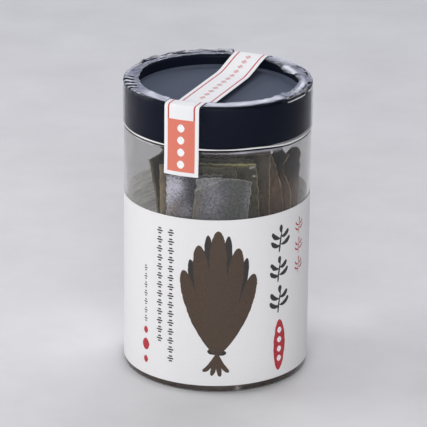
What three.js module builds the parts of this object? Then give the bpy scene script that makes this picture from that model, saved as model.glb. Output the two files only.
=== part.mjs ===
// A clear straight-sided jar of dried kelp sheets, shut with a black screw cap.
// A shrink band covers the cap's rim and skirt, a paper label wraps the body,
// and a paper seal strip runs across the cap and hangs down at both ends.
// Millimetres, +Z up, origin on the ground at the middle of the jar's base.
// The front, where the seal strip's printed tail hangs, looks along -Y.
import * as THREE from "three";

const DEGREE = Math.PI / 180;

// ---------------------------------------------------------------- jar body
const FACETS = 60;                 // facets round every turned piece
const ARC_STEPS = 3;               // facets along a small rounding
const BODY_RADIUS = 42.5;
const WALL = 1.1;
const PANEL_RADIUS = 42.1;         // the body is sunk a little behind the label
const PANEL_TOP = 84.3;
const PANEL_STEP = 0.4;
const FOOT_RADIUS = 2.8;           // rounding between base and body
const SHOULDER_TOP = 116.2;
const SHOULDER_RADIUS = 1.3;
const NECK_RADIUS = 39.6;
const NECK_WALL = 1.0;
const NECK_TOP = 133.4;
const PUSH_UP = 1.6;               // height of the sunk middle of the base
const PUSH_UP_RADIUS = 28;
const PUSH_UP_SLOPE = 3;

// --------------------------------------------------------------------- cap
const CAP_RADIUS = 42.3;
const CAP_BOTTOM = 117.3;
const CAP_TOP = 135.8;
const CAP_WALL = 1.2;
const CAP_EDGE_RADIUS = 1.5;       // rounding of the rim, outside and inside
const RECESS_RADIUS = 37.3;
const RECESS_FLOOR = 129.7;
const RECESS_WALL = 1.0;
const RECESS_FILLET = 1.0;

// ------------------------------------------------------------- shrink band
const BAND_RADIUS = 42.9;
const BAND_THICKNESS = 0.3;
const BAND_TOP = 136.4;
const BAND_EDGE_RADIUS = 1.8;
const BAND_INNER_RADIUS = 35.9;    // the free hem over the recess
const BAND_INNER_DROOP = 0.3;
const BAND_HEM = 116.5;
const BAND_HEM_TUCK = 0.4;
const BAND_HEM_HEIGHT = 0.8;

// ------------------------------------------------------------------- label
const LABEL_INNER_RADIUS = 42.4;
const LABEL_THICKNESS = 0.25;
const LABEL_BOTTOM = 3.6;
const LABEL_TOP = 83.65;
const LABEL_TILT = 0.006;          // it was stuck on slightly askew

// -------------------------------------------------------------- seal strip
const STRIP_WIDTH = 16.9;
const STRIP_THICKNESS = 0.3;
const STRIP_GAP = 0.3;
const STRIP_TURN = 22;             // degrees from +Y towards +X
const STRIP_OFFSET = -0.3;         // sideways from the jar's axis
const STRIP_TAIL_END = 103.7;
const STRIP_TOP = 136.8;           // height of its middle surface over the rim
const STRIP_SAG = 132.9;           // height of its middle surface over the recess
const STRIP_CORNER = 2.0;          // rounding where it turns down over the rim
const STRIP_RIM_WIDTH = 8.2;       // how far in from the edge it lies on the rim
const STRIP_DIP_LENGTH = 6;        // it falls from rim to sag over this length
const STRIP_KINK = 21.2;           // where it starts to rise to the back rim
const STRIP_KINK_SKEW = 0.43;      // the kink runs askew across the strip
const STRIP_CELLS_ACROSS = 6;
const STRIP_TAIL_STEPS = 6;
const STRIP_DIP_STEPS = 5;

// ------------------------------------------------------------ kelp sheets
const KELP_FLOOR = 3.3;
const KELP_THICKNESS = 1.3;
const KELP_CELLS_ACROSS = 6;
const KELP_CELLS_UP = 9;
const KELP_RIPPLES = 1.5;          // waves along the height of a sheet
const KELP_PHASE = 1.7;            // radians by which each next sheet's waves are shifted

// Each sheet stands on the jar's floor. head and foot are the plan places of
// the middle of its top and bottom edges, turn is the direction of its width
// from +X in degrees, top the height of its top edge. bow is how far its middle
// stands out towards -Y, ripple the size of its waves, and ease above 1 keeps
// the lower part upright and bends the upper part out. trim gives how far the
// top edge stands above or below its middle height at u, from -1 at the left
// edge to 1 at the right, and side how far the right edge is moved at v, from
// 0 at the foot to 1 at the top.
const KELP_SHEETS = [
  { head: [3.1, -35.4], foot: [-6.6, -33], width: 24.4, turn: 0, top: 101.5, bow: 0.8,
    ripple: 0.3, ease: 1, trim: (u) => -1.8 * u * u,
    crease: { left: 95.4, right: 0.1, bend: 0.5 } },
  { head: [-10.1, -30.2], foot: [-9.5, -28.4], width: 24.9, turn: 3, top: 101, bow: 0.6,
    ripple: 0.4, ease: 1 },
  { head: [-8.6, -24.6], foot: [-8, -22.8], width: 34, turn: 1, top: 101.8, bow: 0.4,
    ripple: 0.5, ease: 1, trim: (u) => -0.8 * u },
  { head: [3.6, -19], foot: [11.5, -16.2], width: 27.4, turn: 1, top: 102.4, bow: 0.5,
    ripple: 0.5, ease: 1 },
  { head: [1.5, -9.4], foot: [2.5, -8.6], width: 29, turn: 0, top: 102.5, bow: 0.6,
    ripple: 0.5, ease: 1, trim: (u) => 0.4 * Math.sin(4 * u) },
  { head: [8.9, -3.9], foot: [9.6, -3.4], width: 29.8, turn: 2, top: 102, bow: 0.5,
    ripple: 0.4, ease: 1, trim: (u) => 0.8 * u },
  { head: [15.6, 1.2], foot: [14.8, 1.2], width: 30, turn: 5, top: 101, bow: 0.5,
    ripple: 0.5, ease: 1, side: (v) => -6.5 * upperPart(v, 0.83) ** 1.5 },
  { head: [18.5, 5.6], foot: [17.6, 5.4], width: 31.8, turn: 1, top: 100.8, bow: -0.6,
    ripple: 0.5, ease: 1, trim: (u) => -2.2 * Math.max(0, u) - 0.4 * Math.sin(7 * u),
    side: (v) => -4.6 * Math.exp(-(((v - 0.9) / 0.1) ** 2)) },
  { head: [34.4, 9.7], foot: [33.6, 9.6], width: 7, turn: 18, top: 101.2, bow: 0.3,
    ripple: 0.3, ease: 1, trim: (u) => -3.6 * u * u },
  { head: [-26.1, -4.5], foot: [-16.1, -2.8], width: 24, turn: 68, top: 102, bow: 0.8,
    ripple: 0.4, ease: 1.9 },
  { head: [6, 12], foot: [7, 12], width: 34, turn: 2, top: 101, bow: 0.5,
    ripple: 0.5, ease: 1 },
  { head: [-3.5, 17], foot: [-2, 17], width: 34, turn: -2, top: 100, bow: 0.6,
    ripple: 0.5, ease: 1, trim: (u) => 0.6 * Math.sin(5 * u) },
  { head: [7.5, 22], foot: [6, 22], width: 34, turn: 1, top: 102.6, bow: 0.4,
    ripple: 0.5, ease: 1 },
  { head: [-4, 26.6], foot: [-2, 26.4], width: 36, turn: -1, top: 100.4, bow: 0.5,
    ripple: 0.4, ease: 1, trim: (u) => -0.8 * u },
  { head: [5, 31.4], foot: [3, 31], width: 30, turn: 1, top: 98.6, bow: -0.6,
    ripple: 0.4, ease: 1 },
  { head: [-4, 35.6], foot: [-3, 35], width: 23, turn: -1, top: 97, bow: -1.2,
    ripple: 0.3, ease: 1, trim: (u) => 0.5 * Math.sin(6 * u) },
  { head: [-25.2, 14.2], foot: [-23.6, 14.6], width: 17, turn: 84, top: 99.5, bow: 0.9,
    ripple: 0.4, ease: 1.4 },
  { head: [31.6, 20.4], foot: [30.2, 19.6], width: 11, turn: 113, top: 93, bow: -0.5,
    ripple: 0.3, ease: 1.2 },
];

// --------------------------------------------------------------- materials
const CLEAR_PLASTIC = new THREE.MeshStandardMaterial({
  color: 0xdfe3e6, roughness: 0.08, metalness: 0, transparent: true, opacity: 0.3 });
const BLACK_PLASTIC = new THREE.MeshStandardMaterial({
  color: 0x20222c, roughness: 0.35, metalness: 0 });
const SHRINK_FILM = new THREE.MeshStandardMaterial({
  color: 0xc9cbd8, roughness: 0.15, metalness: 0, transparent: true, opacity: 0.3 });
const LABEL_PAPER = new THREE.MeshStandardMaterial({
  color: 0xe9e7e4, roughness: 0.5, metalness: 0 });
const STRIP_PAPER = new THREE.MeshStandardMaterial({
  color: 0xefefef, roughness: 0.5, metalness: 0 });
const DRIED_KELP = new THREE.MeshStandardMaterial({
  color: 0x47452f, roughness: 0.7, metalness: 0 });

// ----------------------------------------------------------------- helpers
// How far v has come from start to 1, as a share; nothing below start.
function upperPart(v, start) {
  return Math.max(0, (v - start) / (1 - start));
}

// Points of an arc in a turned profile, from one angle to another in degrees.
function arc(radiusAt, heightAt, radius, from, to, steps) {
  const points = [];
  for (let i = 0; i <= steps; i += 1) {
    const angle = (from + ((to - from) * i) / steps) * DEGREE;
    points.push([radiusAt + radius * Math.cos(angle), heightAt + radius * Math.sin(angle)]);
  }
  return points;
}

// A turned solid about Z from its profile of radius and height.
function turned(profile, closed) {
  const points = profile.map(([radius, height]) => new THREE.Vector2(radius, height));
  if (closed) {
    points.push(points[0].clone());
  }
  const geometry = new THREE.LatheGeometry(points, FACETS);
  geometry.rotateX(Math.PI / 2);
  return geometry;
}

// A thin closed solid from two grids of points, its front and its back, split
// into triangles alike, with a band of triangles round the edge.
function slab(front, back) {
  const rows = front.length;
  const columns = front[0].length;
  const corners = [...front.flat(), ...back.flat()];
  const backStart = rows * columns;
  const index = [];
  const quad = (a, b, c, d) => index.push(a, b, c, a, c, d);
  for (let i = 0; i < rows - 1; i += 1) {
    for (let j = 0; j < columns - 1; j += 1) {
      const a = i * columns + j;
      const b = a + 1;
      const c = b + columns;
      const d = a + columns;
      quad(a, b, c, d);
      index.push(backStart + a, backStart + c, backStart + b);
      index.push(backStart + a, backStart + d, backStart + c);
    }
  }
  const edge = [];
  for (let j = 0; j < columns - 1; j += 1) edge.push(j);
  for (let i = 0; i < rows - 1; i += 1) edge.push(i * columns + columns - 1);
  for (let j = columns - 1; j > 0; j -= 1) edge.push((rows - 1) * columns + j);
  for (let i = rows - 1; i > 0; i -= 1) edge.push(i * columns);
  edge.forEach((from, k) => {
    const to = edge[(k + 1) % edge.length];
    quad(to, from, backStart + from, backStart + to);
  });
  const geometry = new THREE.BufferGeometry();
  geometry.setAttribute("position", new THREE.Float32BufferAttribute(corners.flat(), 3));
  geometry.setIndex(index);
  geometry.computeVertexNormals();
  return geometry;
}

// ------------------------------------------------------------ turned pieces
function jarGeometry() {
  const bodyInner = BODY_RADIUS - WALL;
  const panelInner = PANEL_RADIUS - WALL;
  const footCentre = PANEL_RADIUS - FOOT_RADIUS;
  const footInner = FOOT_RADIUS - WALL;
  const shoulderCentre = BODY_RADIUS - SHOULDER_RADIUS;
  const slopeEnd = PUSH_UP_RADIUS + PUSH_UP_SLOPE;
  return turned([
    [0, PUSH_UP],
    [PUSH_UP_RADIUS, PUSH_UP],
    [slopeEnd, 0],
    ...arc(footCentre, FOOT_RADIUS, FOOT_RADIUS, -90, 0, ARC_STEPS + 1),
    [PANEL_RADIUS, PANEL_TOP],
    [BODY_RADIUS, PANEL_TOP + PANEL_STEP],
    ...arc(shoulderCentre, SHOULDER_TOP - SHOULDER_RADIUS, SHOULDER_RADIUS, 0, 90, ARC_STEPS),
    [NECK_RADIUS, SHOULDER_TOP],
    [NECK_RADIUS, NECK_TOP],
    [NECK_RADIUS - NECK_WALL, NECK_TOP],
    [NECK_RADIUS - NECK_WALL, SHOULDER_TOP - WALL],
    [bodyInner, SHOULDER_TOP - 2 * WALL],
    [bodyInner, PANEL_TOP + PANEL_STEP],
    [panelInner, PANEL_TOP],
    ...arc(footCentre, FOOT_RADIUS, footInner, 0, -90, ARC_STEPS),
    [slopeEnd, WALL],
    [PUSH_UP_RADIUS, PUSH_UP + WALL],
    [0, PUSH_UP + WALL],
  ], false);
}

function capGeometry() {
  const wallOutside = RECESS_RADIUS + RECESS_WALL;
  const skirtInner = CAP_RADIUS - CAP_WALL;
  const rimUnderside = CAP_TOP - CAP_WALL;
  const edgeHeight = CAP_TOP - CAP_EDGE_RADIUS;
  return turned([
    [0, RECESS_FLOOR - CAP_WALL],
    [RECESS_RADIUS, RECESS_FLOOR - CAP_WALL],
    [wallOutside, RECESS_FLOOR],
    [wallOutside, rimUnderside],
    [skirtInner, rimUnderside],
    [skirtInner, CAP_BOTTOM],
    [CAP_RADIUS, CAP_BOTTOM],
    ...arc(CAP_RADIUS - CAP_EDGE_RADIUS, edgeHeight, CAP_EDGE_RADIUS, 0, 90, ARC_STEPS),
    ...arc(RECESS_RADIUS + CAP_EDGE_RADIUS, edgeHeight, CAP_EDGE_RADIUS, 90, 180, ARC_STEPS),
    [RECESS_RADIUS, RECESS_FLOOR + RECESS_FILLET],
    [RECESS_RADIUS - RECESS_FILLET, RECESS_FLOOR],
    [0, RECESS_FLOOR],
  ], false);
}

function bandGeometry() {
  const edgeCentre = BAND_RADIUS - BAND_EDGE_RADIUS;
  const edgeHeight = BAND_TOP - BAND_EDGE_RADIUS;
  const innerEdge = BAND_EDGE_RADIUS - BAND_THICKNESS;
  const hemOuter = BAND_RADIUS - BAND_HEM_TUCK;
  const droopHeight = BAND_TOP - BAND_INNER_DROOP;
  return turned([
    [hemOuter - BAND_THICKNESS, BAND_HEM],
    [hemOuter, BAND_HEM],
    [BAND_RADIUS, BAND_HEM + BAND_HEM_HEIGHT],
    ...arc(edgeCentre, edgeHeight, BAND_EDGE_RADIUS, 0, 90, ARC_STEPS),
    [RECESS_RADIUS, BAND_TOP],
    [BAND_INNER_RADIUS, droopHeight],
    [BAND_INNER_RADIUS, droopHeight - BAND_THICKNESS],
    [RECESS_RADIUS, BAND_TOP - BAND_THICKNESS],
    ...arc(edgeCentre, edgeHeight, innerEdge, 90, 0, ARC_STEPS),
    [BAND_RADIUS - BAND_THICKNESS, BAND_HEM + BAND_HEM_HEIGHT],
  ], true);
}

function labelGeometry() {
  const outer = LABEL_INNER_RADIUS + LABEL_THICKNESS;
  const geometry = turned([
    [LABEL_INNER_RADIUS, LABEL_BOTTOM],
    [outer, LABEL_BOTTOM],
    [outer, LABEL_TOP],
    [LABEL_INNER_RADIUS, LABEL_TOP],
  ], true);
  const place = geometry.attributes.position;
  for (let i = 0; i < place.count; i += 1) {
    place.setZ(i, place.getZ(i) + LABEL_TILT * place.getX(i));
  }
  return geometry;
}

// -------------------------------------------------------------- seal strip
// The strip's path at one end, as points of distance in from the rim's edge
// and height: up the tail, round the corner and in over the rim.
function stripOverRim() {
  const cornerHeight = STRIP_TOP - STRIP_CORNER;
  const points = [];
  for (let i = 0; i < STRIP_TAIL_STEPS; i += 1) {
    const share = i / STRIP_TAIL_STEPS;
    points.push([0, STRIP_TAIL_END + (cornerHeight - STRIP_TAIL_END) * share]);
  }
  points.push(...arc(STRIP_CORNER, cornerHeight, STRIP_CORNER, 180, 90, ARC_STEPS + 1));
  points.push([STRIP_RIM_WIDTH, STRIP_TOP]);
  return points;
}

// From the front rim the strip falls in half a cosine wave to its sag.
function stripDip() {
  const points = [];
  for (let i = 1; i <= STRIP_DIP_STEPS; i += 1) {
    const share = i / STRIP_DIP_STEPS;
    const fall = (1 - Math.cos(Math.PI * share)) / 2;
    points.push([STRIP_RIM_WIDTH + STRIP_DIP_LENGTH * share,
      STRIP_TOP - (STRIP_TOP - STRIP_SAG) * fall]);
  }
  return points;
}

function stripGeometry() {
  const half = STRIP_WIDTH / 2;
  const tailRadius = BAND_RADIUS + STRIP_GAP + STRIP_THICKNESS / 2;
  const turn = STRIP_TURN * DEGREE;
  const along = [Math.sin(turn), Math.cos(turn)];
  const across = [Math.cos(turn), -Math.sin(turn)];
  const path = (side) => {
    const reach = Math.sqrt(tailRadius ** 2 - side ** 2);
    const front = [...stripOverRim(), ...stripDip()];
    const back = stripOverRim().reverse();
    return [
      ...front.map(([inset, height]) => [inset - reach, height]),
      [0, STRIP_SAG],
      [STRIP_KINK - STRIP_KINK_SKEW * side, STRIP_SAG],
      ...back.map(([inset, height]) => [reach - inset, height]),
    ];
  };
  const face = (offset) => {
    const rows = [];
    for (let j = 0; j <= STRIP_CELLS_ACROSS; j += 1) {
      const side = -half + (STRIP_WIDTH * j) / STRIP_CELLS_ACROSS;
      const points = path(side);
      rows.push(points.map(([distance, height], i) => {
        const before = points[Math.max(0, i - 1)];
        const after = points[Math.min(points.length - 1, i + 1)];
        const step = [after[0] - before[0], after[1] - before[1]];
        const length = Math.hypot(...step);
        const s = distance - (step[1] / length) * offset;
        const z = height + (step[0] / length) * offset;
        const sideways = side + STRIP_OFFSET;
        return [along[0] * s + across[0] * sideways, along[1] * s + across[1] * sideways, z];
      }));
    }
    return rows;
  };
  return slab(face(-STRIP_THICKNESS / 2), face(STRIP_THICKNESS / 2));
}

// ------------------------------------------------------------- kelp sheets
// The middle surface of a sheet at u across and v up, moved by offset along
// the sheet's normal. Ripples run up the sheet and fade towards its foot.
function kelpPoint(sheet, phase, u, v, offset) {
  const turn = sheet.turn * DEGREE;
  const trim = sheet.trim ? sheet.trim(u) : 0;
  const side = sheet.side ? Math.max(0, u) * sheet.side(v) : 0;
  const share = v ** sheet.ease;
  const height = KELP_FLOOR + v * (sheet.top + trim - KELP_FLOOR);
  const sideways = (u * sheet.width) / 2 + side;
  const wave = sheet.ripple * Math.sin(2 * Math.PI * KELP_RIPPLES * v + phase + u);
  let depth = offset - sheet.bow * (1 - u * u) + wave * v;
  if (sheet.crease) {
    const { left, right, bend } = sheet.crease;
    const line = left + ((sheet.top - left) * (u + 1)) / (right + 1);
    depth += bend * Math.max(0, height - line);
  }
  const x = sheet.foot[0] + (sheet.head[0] - sheet.foot[0]) * share;
  const y = sheet.foot[1] + (sheet.head[1] - sheet.foot[1]) * share;
  return [
    x + sideways * Math.cos(turn) - depth * Math.sin(turn),
    y + sideways * Math.sin(turn) + depth * Math.cos(turn),
    height,
  ];
}

function kelpGeometry(sheet, number) {
  const phase = KELP_PHASE * number;
  const face = (offset) => {
    const rows = [];
    for (let i = 0; i <= KELP_CELLS_UP; i += 1) {
      const row = [];
      for (let j = 0; j <= KELP_CELLS_ACROSS; j += 1) {
        const u = -1 + (2 * j) / KELP_CELLS_ACROSS;
        row.push(kelpPoint(sheet, phase, u, i / KELP_CELLS_UP, offset));
      }
      rows.push(row);
    }
    return rows;
  };
  return slab(face(-KELP_THICKNESS / 2), face(KELP_THICKNESS / 2));
}

// ---------------------------------------------------------------- assembly
const group = new THREE.Group();

function add(name, geometry, material) {
  const mesh = new THREE.Mesh(geometry, material.clone());
  mesh.name = name;
  group.add(mesh);
}

add("jar", jarGeometry(), CLEAR_PLASTIC);
add("cap", capGeometry(), BLACK_PLASTIC);
add("shrink_band", bandGeometry(), SHRINK_FILM);
add("label", labelGeometry(), LABEL_PAPER);
add("seal_strip", stripGeometry(), STRIP_PAPER);
KELP_SHEETS.forEach((sheet, i) => {
  const number = String(i + 1).padStart(2, "0");
  add(`kelp_${number}`, kelpGeometry(sheet, i), DRIED_KELP);
});

export default group;
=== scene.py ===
"""Dresses a packed jar of dried kelp sheets: clear plastic jar, black cap, shrink film,
paper label with a generic print, paper seal strip and the kelp sheets inside."""

import math
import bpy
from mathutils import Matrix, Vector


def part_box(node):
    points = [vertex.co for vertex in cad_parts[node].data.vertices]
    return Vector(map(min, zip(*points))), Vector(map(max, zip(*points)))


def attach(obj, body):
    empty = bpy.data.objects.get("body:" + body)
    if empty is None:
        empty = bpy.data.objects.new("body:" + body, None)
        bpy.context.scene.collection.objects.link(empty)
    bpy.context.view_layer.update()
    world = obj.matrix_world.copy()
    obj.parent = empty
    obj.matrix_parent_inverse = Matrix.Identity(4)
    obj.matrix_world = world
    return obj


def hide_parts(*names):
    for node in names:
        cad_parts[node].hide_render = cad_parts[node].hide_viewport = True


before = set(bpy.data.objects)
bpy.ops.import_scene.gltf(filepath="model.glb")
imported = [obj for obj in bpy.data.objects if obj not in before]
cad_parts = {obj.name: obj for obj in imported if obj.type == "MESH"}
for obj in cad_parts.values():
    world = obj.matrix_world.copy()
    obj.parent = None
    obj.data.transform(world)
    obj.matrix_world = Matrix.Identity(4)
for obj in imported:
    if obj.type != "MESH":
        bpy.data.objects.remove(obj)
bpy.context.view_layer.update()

import types

import bpy
import numpy as np
from mathutils import Matrix

bl_info = {
    "name": "Jar of Dried Kelp Sheets",
    "version": (1, 0, 0),
    "blender": (4, 5, 0),
    "location": "3D View > Sidebar > Kelp Jar",
    "description": "Builds a sealed clear jar of dried kelp sheets round its fixed frame",
    "category": "Add Mesh",
}

MM = 0.001
IMAGE_WIDTH = 427                   # pixels of the rendered picture
SENSOR_WIDTH = 36.0


# ------------------------------------------------------------ sizes from the frame
def frame_edge(node, side, axis):
    """One face of a node's box in millimetres: side 0 is low and 1 is high."""
    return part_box(node)[side][axis] / MM


BODY_RADIUS = frame_edge("jar", 1, 0)
CAP_TOP = frame_edge("cap", 1, 2)
CAP_BOTTOM = frame_edge("cap", 0, 2)
CAP_RADIUS = frame_edge("cap", 1, 0)
NECK_TOP = frame_edge("jar", 1, 2)
LABEL_RADIUS = frame_edge("label", 1, 0)
BAND_RADIUS = frame_edge("shrink_band", 1, 0)
BAND_TOP = frame_edge("shrink_band", 1, 2)
BAND_HEM = frame_edge("shrink_band", 0, 2)
STRIP_TAIL_END = frame_edge("seal_strip", 0, 2)


# --------------------------------------------------------------------- properties
def length(label, description, millimetres):
    """A length that a user may change, given in millimetres and held in metres."""
    return bpy.props.FloatProperty(name=label, description=description, min=0.0,
                                   default=millimetres * MM, unit="LENGTH", precision=5)


def linear(code):
    """The linear red, green and blue of an sRGB hex colour such as "a0b1c2"."""
    shares = [int(code[i:i + 2], 16) / 255 for i in (0, 2, 4)]
    return tuple(c / 12.92 if c <= 0.04045 else ((c + 0.055) / 1.055) ** 2.4 for c in shares)


def colour(label, description, code):
    """A colour that a user may change, from its sRGB hex value."""
    return bpy.props.FloatVectorProperty(name=label, description=description, size=3,
                                         subtype="COLOR", min=0.0, max=1.0,
                                         default=linear(code))


class KELPJAR_PG_jar(bpy.types.PropertyGroup):
    body_radius: length("Body radius", "Outside of the straight body", BODY_RADIUS)
    wall: length("Wall", "Thickness of the blown wall", 0.9)
    panel_radius: length("Panel radius", "Outside of the body behind the label", 42.32)
    panel_top: length("Panel top", "Where the label panel ends", 84.3)
    foot_radius: length("Foot rounding", "Rounding between base and body", 1.4)
    shoulder_top: length("Shoulder top", "Height of the flat shoulder", 116.2)
    shoulder_radius: length("Shoulder rounding", "Rounding at the top of the body", 2.0)
    neck_radius: length("Neck radius", "Outside of the neck under the cap", 39.6)
    neck_top: length("Neck top", "Height of the jar's mouth", NECK_TOP)
    push_up: length("Push-up", "Height of the sunk middle of the base", 1.6)
    push_up_radius: length("Push-up radius", "Radius of the sunk middle", 28.0)
    foot_wall: length("Foot wall", "Thickness of the blown corner at the foot", 0.3)


class KELPJAR_PG_cap(bpy.types.PropertyGroup):
    radius: length("Radius", "Outside of the skirt", CAP_RADIUS)
    bottom: length("Bottom", "Height of the skirt's lower edge", CAP_BOTTOM - 0.7)
    top: length("Top", "Height of the rim", CAP_TOP)
    wall: length("Wall", "Thickness of the moulding", 1.2)
    edge_radius: length("Edge rounding", "Rounding of the rim", 1.5)
    recess_radius: length("Recess radius", "Radius of the sunk middle", 37.4)
    recess_floor: length("Recess floor", "Height of the sunk middle", 129.7)
    ledge: length("Ledge", "Width of the step at the foot of the recess wall", 0.45)
    ledge_rise: length("Ledge height", "Height of that step above the recess floor", 1.15)


class KELPJAR_PG_film(bpy.types.PropertyGroup):
    radius: length("Radius", "Outside of the film on the skirt", BAND_RADIUS - 0.25)
    top: length("Top", "Height of the film over the rim", BAND_TOP - 0.2)
    hem: length("Lower hem", "Height of the lower hem", BAND_HEM)
    edge_radius: length("Edge rounding", "Rounding where it turns over the rim", 1.1)
    inner_radius: length("Inner hem radius", "Radius of the free inner hem", 35.9)
    thickness: length("Thickness", "Thickness of the film", 0.05)


class KELPJAR_PG_label(bpy.types.PropertyGroup):
    radius: length("Radius", "Outside of the paper", LABEL_RADIUS - 0.12)
    thickness: length("Thickness", "Thickness of the paper", 0.1)
    bottom: length("Bottom", "Height of the lower edge", 3.6)
    top: length("Top", "Height of the upper edge", 83.65)
    overlap: length("Overlap", "Width of the glued seam at the back", 5.0)


class KELPJAR_PG_strip(bpy.types.PropertyGroup):
    width: length("Width", "Width of the paper", 16.4)
    thickness: length("Thickness", "Thickness of the paper", 0.12)
    tail_radius: length("Tail radius", "Distance of the tails from the axis", 42.95)
    tail_end: length("Tail end", "Height of the end of each tail", STRIP_TAIL_END)
    top: length("Top", "Height of the paper over the rim", CAP_TOP + 0.32)
    sag: length("Sag", "Height of the paper over the recess", 132.65)
    corner: length("Corner", "Rounding where it turns down over the rim", 1.6)
    rim_width: length("Rim width", "How far in from the edge it lies on the rim", 6.4)
    dip_length: length("Dip length", "It falls from rim to sag over this length", 11.4)


class KELPJAR_PG_kelp(bpy.types.PropertyGroup):
    thickness: length("Thickness", "Thickness of a dried sheet", 0.8)
    floor: length("Floor", "Height that the sheets stand on", 3.3)
    wrinkle: length("Wrinkle", "Depth of the fine lengthwise wrinkles", 0.12)
    fray: length("Fray", "How uneven the cut edges are", 0.22)


class KELPJAR_PG_finish(bpy.types.PropertyGroup):
    clear: colour("Clear plastic", "Tint of the jar", "dededd")
    black: colour("Black plastic", "Cap", "151a26")
    # The recess floor's grey, much lighter than the cap's black, is a painted sheen of the sky on
    # the matt floor.
    recess: colour("Recess floor", "Matt floor of the cap's recess", "585e6f")
    film: colour("Film", "Tint of the shrink film", "f6f6fa")
    paper: colour("Label paper", "Coated white paper", "f2f1f2")
    paper_back: colour("Label back", "Gummed back of the label", "f0efed")
    strip_paper: colour("Strip paper", "White paper of the seal strip", "f8f8fa")
    coral: colour("Coral", "Printed field on the seal strip's tails", "e8806c")
    line_red: colour("Line red", "Thin lines and marks on the strip", "c64a44")
    ink_black: colour("Black ink", "Dark print on the label", "2e2a28")
    ink_brown: colour("Brown ink", "Large printed design", "4a3a2e")
    ink_red: colour("Red ink", "Red print on the label", "b32634")
    floor: colour("Floor", "Pale ground", "e2e1e4")


class KELPJAR_PG_settings(bpy.types.PropertyGroup):
    jar: bpy.props.PointerProperty(type=KELPJAR_PG_jar)
    cap: bpy.props.PointerProperty(type=KELPJAR_PG_cap)
    film: bpy.props.PointerProperty(type=KELPJAR_PG_film)
    label: bpy.props.PointerProperty(type=KELPJAR_PG_label)
    strip: bpy.props.PointerProperty(type=KELPJAR_PG_strip)
    kelp: bpy.props.PointerProperty(type=KELPJAR_PG_kelp)
    finish: bpy.props.PointerProperty(type=KELPJAR_PG_finish)


def in_mm(group):
    """The lengths of a property group in millimetres, under their own names."""
    names = type(group).__annotations__
    return types.SimpleNamespace(**{name: getattr(group, name) / MM for name in names})


# ------------------------------------------------------------------ surface tools
def arc(radius_at, height_at, radius, start, end, steps=8):
    """Points of an arc in a profile, from one angle in degrees to another."""
    angle = np.radians(np.linspace(start, end, steps + 1))
    return np.stack([radius_at + radius * np.cos(angle),
                     height_at + radius * np.sin(angle)], -1)


def on_cylinder(radius, angle, height):
    """Points at a radius, an angle from the front towards +X, and a height."""
    x = radius * np.sin(angle)
    return np.stack(np.broadcast_arrays(x, -radius * np.cos(angle), height), -1)


def bump(value, middle, reach):
    """A smooth hill of height 1 at middle: e to the minus square of distance over reach."""
    return np.exp(-((value - middle) / reach) ** 2)


def hills(value, table):
    """The sum of smooth hills, each given by its middle, its reach and its height."""
    return sum(height * bump(value, middle, reach) for middle, reach, height in table)


def smooth(value, start, end):
    """A smooth step from 0 at start to 1 at end: 3t squared less 2t cubed."""
    t = np.clip((value - start) / (end - start), 0, 1)
    return t * t * (3 - 2 * t)


def waves(x, y, size, seed, count=9):
    """A smooth random field of about -1 to 1: the sum of sine waves of about the given
    size, each with its own direction, length and phase, over the root of their count."""
    draw = np.random.default_rng(seed)
    turn = draw.uniform(0, 2 * np.pi, count)
    rate = 2 * np.pi / (size * draw.uniform(0.7, 1.5, count))
    phase = draw.uniform(0, 2 * np.pi, count)
    total = 0
    for a, k, p in zip(turn, rate, phase):
        total = total + np.sin(k * (x * np.cos(a) + y * np.sin(a)) + p)
    return total / math.sqrt(count)


def grid_cells(rows, columns, wrap_rows=False, wrap_columns=False):
    """The corner numbers of a grid's cells, for points stored row by row. With rows
    going up and columns to the right, the cells face the viewer."""
    i = np.arange(rows if wrap_rows else rows - 1)[:, None]
    j = np.arange(columns if wrap_columns else columns - 1)[None, :]
    up, right = (i + 1) % rows, (j + 1) % columns
    corners = [i * columns + j, i * columns + right, up * columns + right, up * columns + j]
    return np.stack(np.broadcast_arrays(*corners), -1).reshape(-1, 4)


def slab(front, back):
    """A thin closed solid from two grids of points, its front and its back: the cells of
    both, and a band of cells round the edge."""
    rows, columns = front.shape[:2]
    number = np.arange(rows * columns).reshape(rows, columns)
    edge = np.concatenate([number[0, :-1], number[:-1, -1],
                           number[-1, :0:-1], number[:0:-1, 0]])
    after = np.roll(edge, -1)
    count = rows * columns
    band = np.stack([after, edge, edge + count, after + count], -1)
    cells = grid_cells(rows, columns)
    points = np.concatenate([front.reshape(-1, 3), back.reshape(-1, 3)])
    return points, np.concatenate([cells, cells[:, ::-1] + count, band])


def turned(profile, columns):
    """A profile of radius and height turned about Z, each point of it becoming a ring
    at radius times the sine and minus the cosine of the angle from the front."""
    profile = np.asarray(profile, float)
    angle = np.linspace(0, 2 * np.pi, columns, endpoint=False)
    return on_cylinder(profile[:, :1], angle[None, :], profile[:, 1:])


def with_poles(grid):
    """A turned grid that starts and ends on the axis: its first and last rings become
    one point each, joined to the next ring by a fan of triangles."""
    rows, columns = grid.shape[:2]
    points = np.concatenate([grid[0, :1], grid[1:-1].reshape(-1, 3), grid[-1, :1]])
    j = np.arange(columns)
    after = (j + 1) % columns
    last_ring = 1 + (rows - 3) * columns
    cells = grid_cells(rows - 2, columns, wrap_columns=True) + 1
    first = np.stack([0 * j, after + 1, j + 1], -1)
    last = np.stack([last_ring + j, last_ring + after, 0 * j + len(points) - 1], -1)
    return points, cells.tolist() + first.tolist() + last.tolist()


def join(parts):
    """Several meshes, each of points and cells, as one."""
    points, cells, start = [], [], 0
    for some_points, some_cells in parts:
        points.append(some_points)
        cells.append(np.asarray(some_cells) + start)
        start += len(some_points)
    return np.concatenate(points), np.concatenate(cells)


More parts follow.
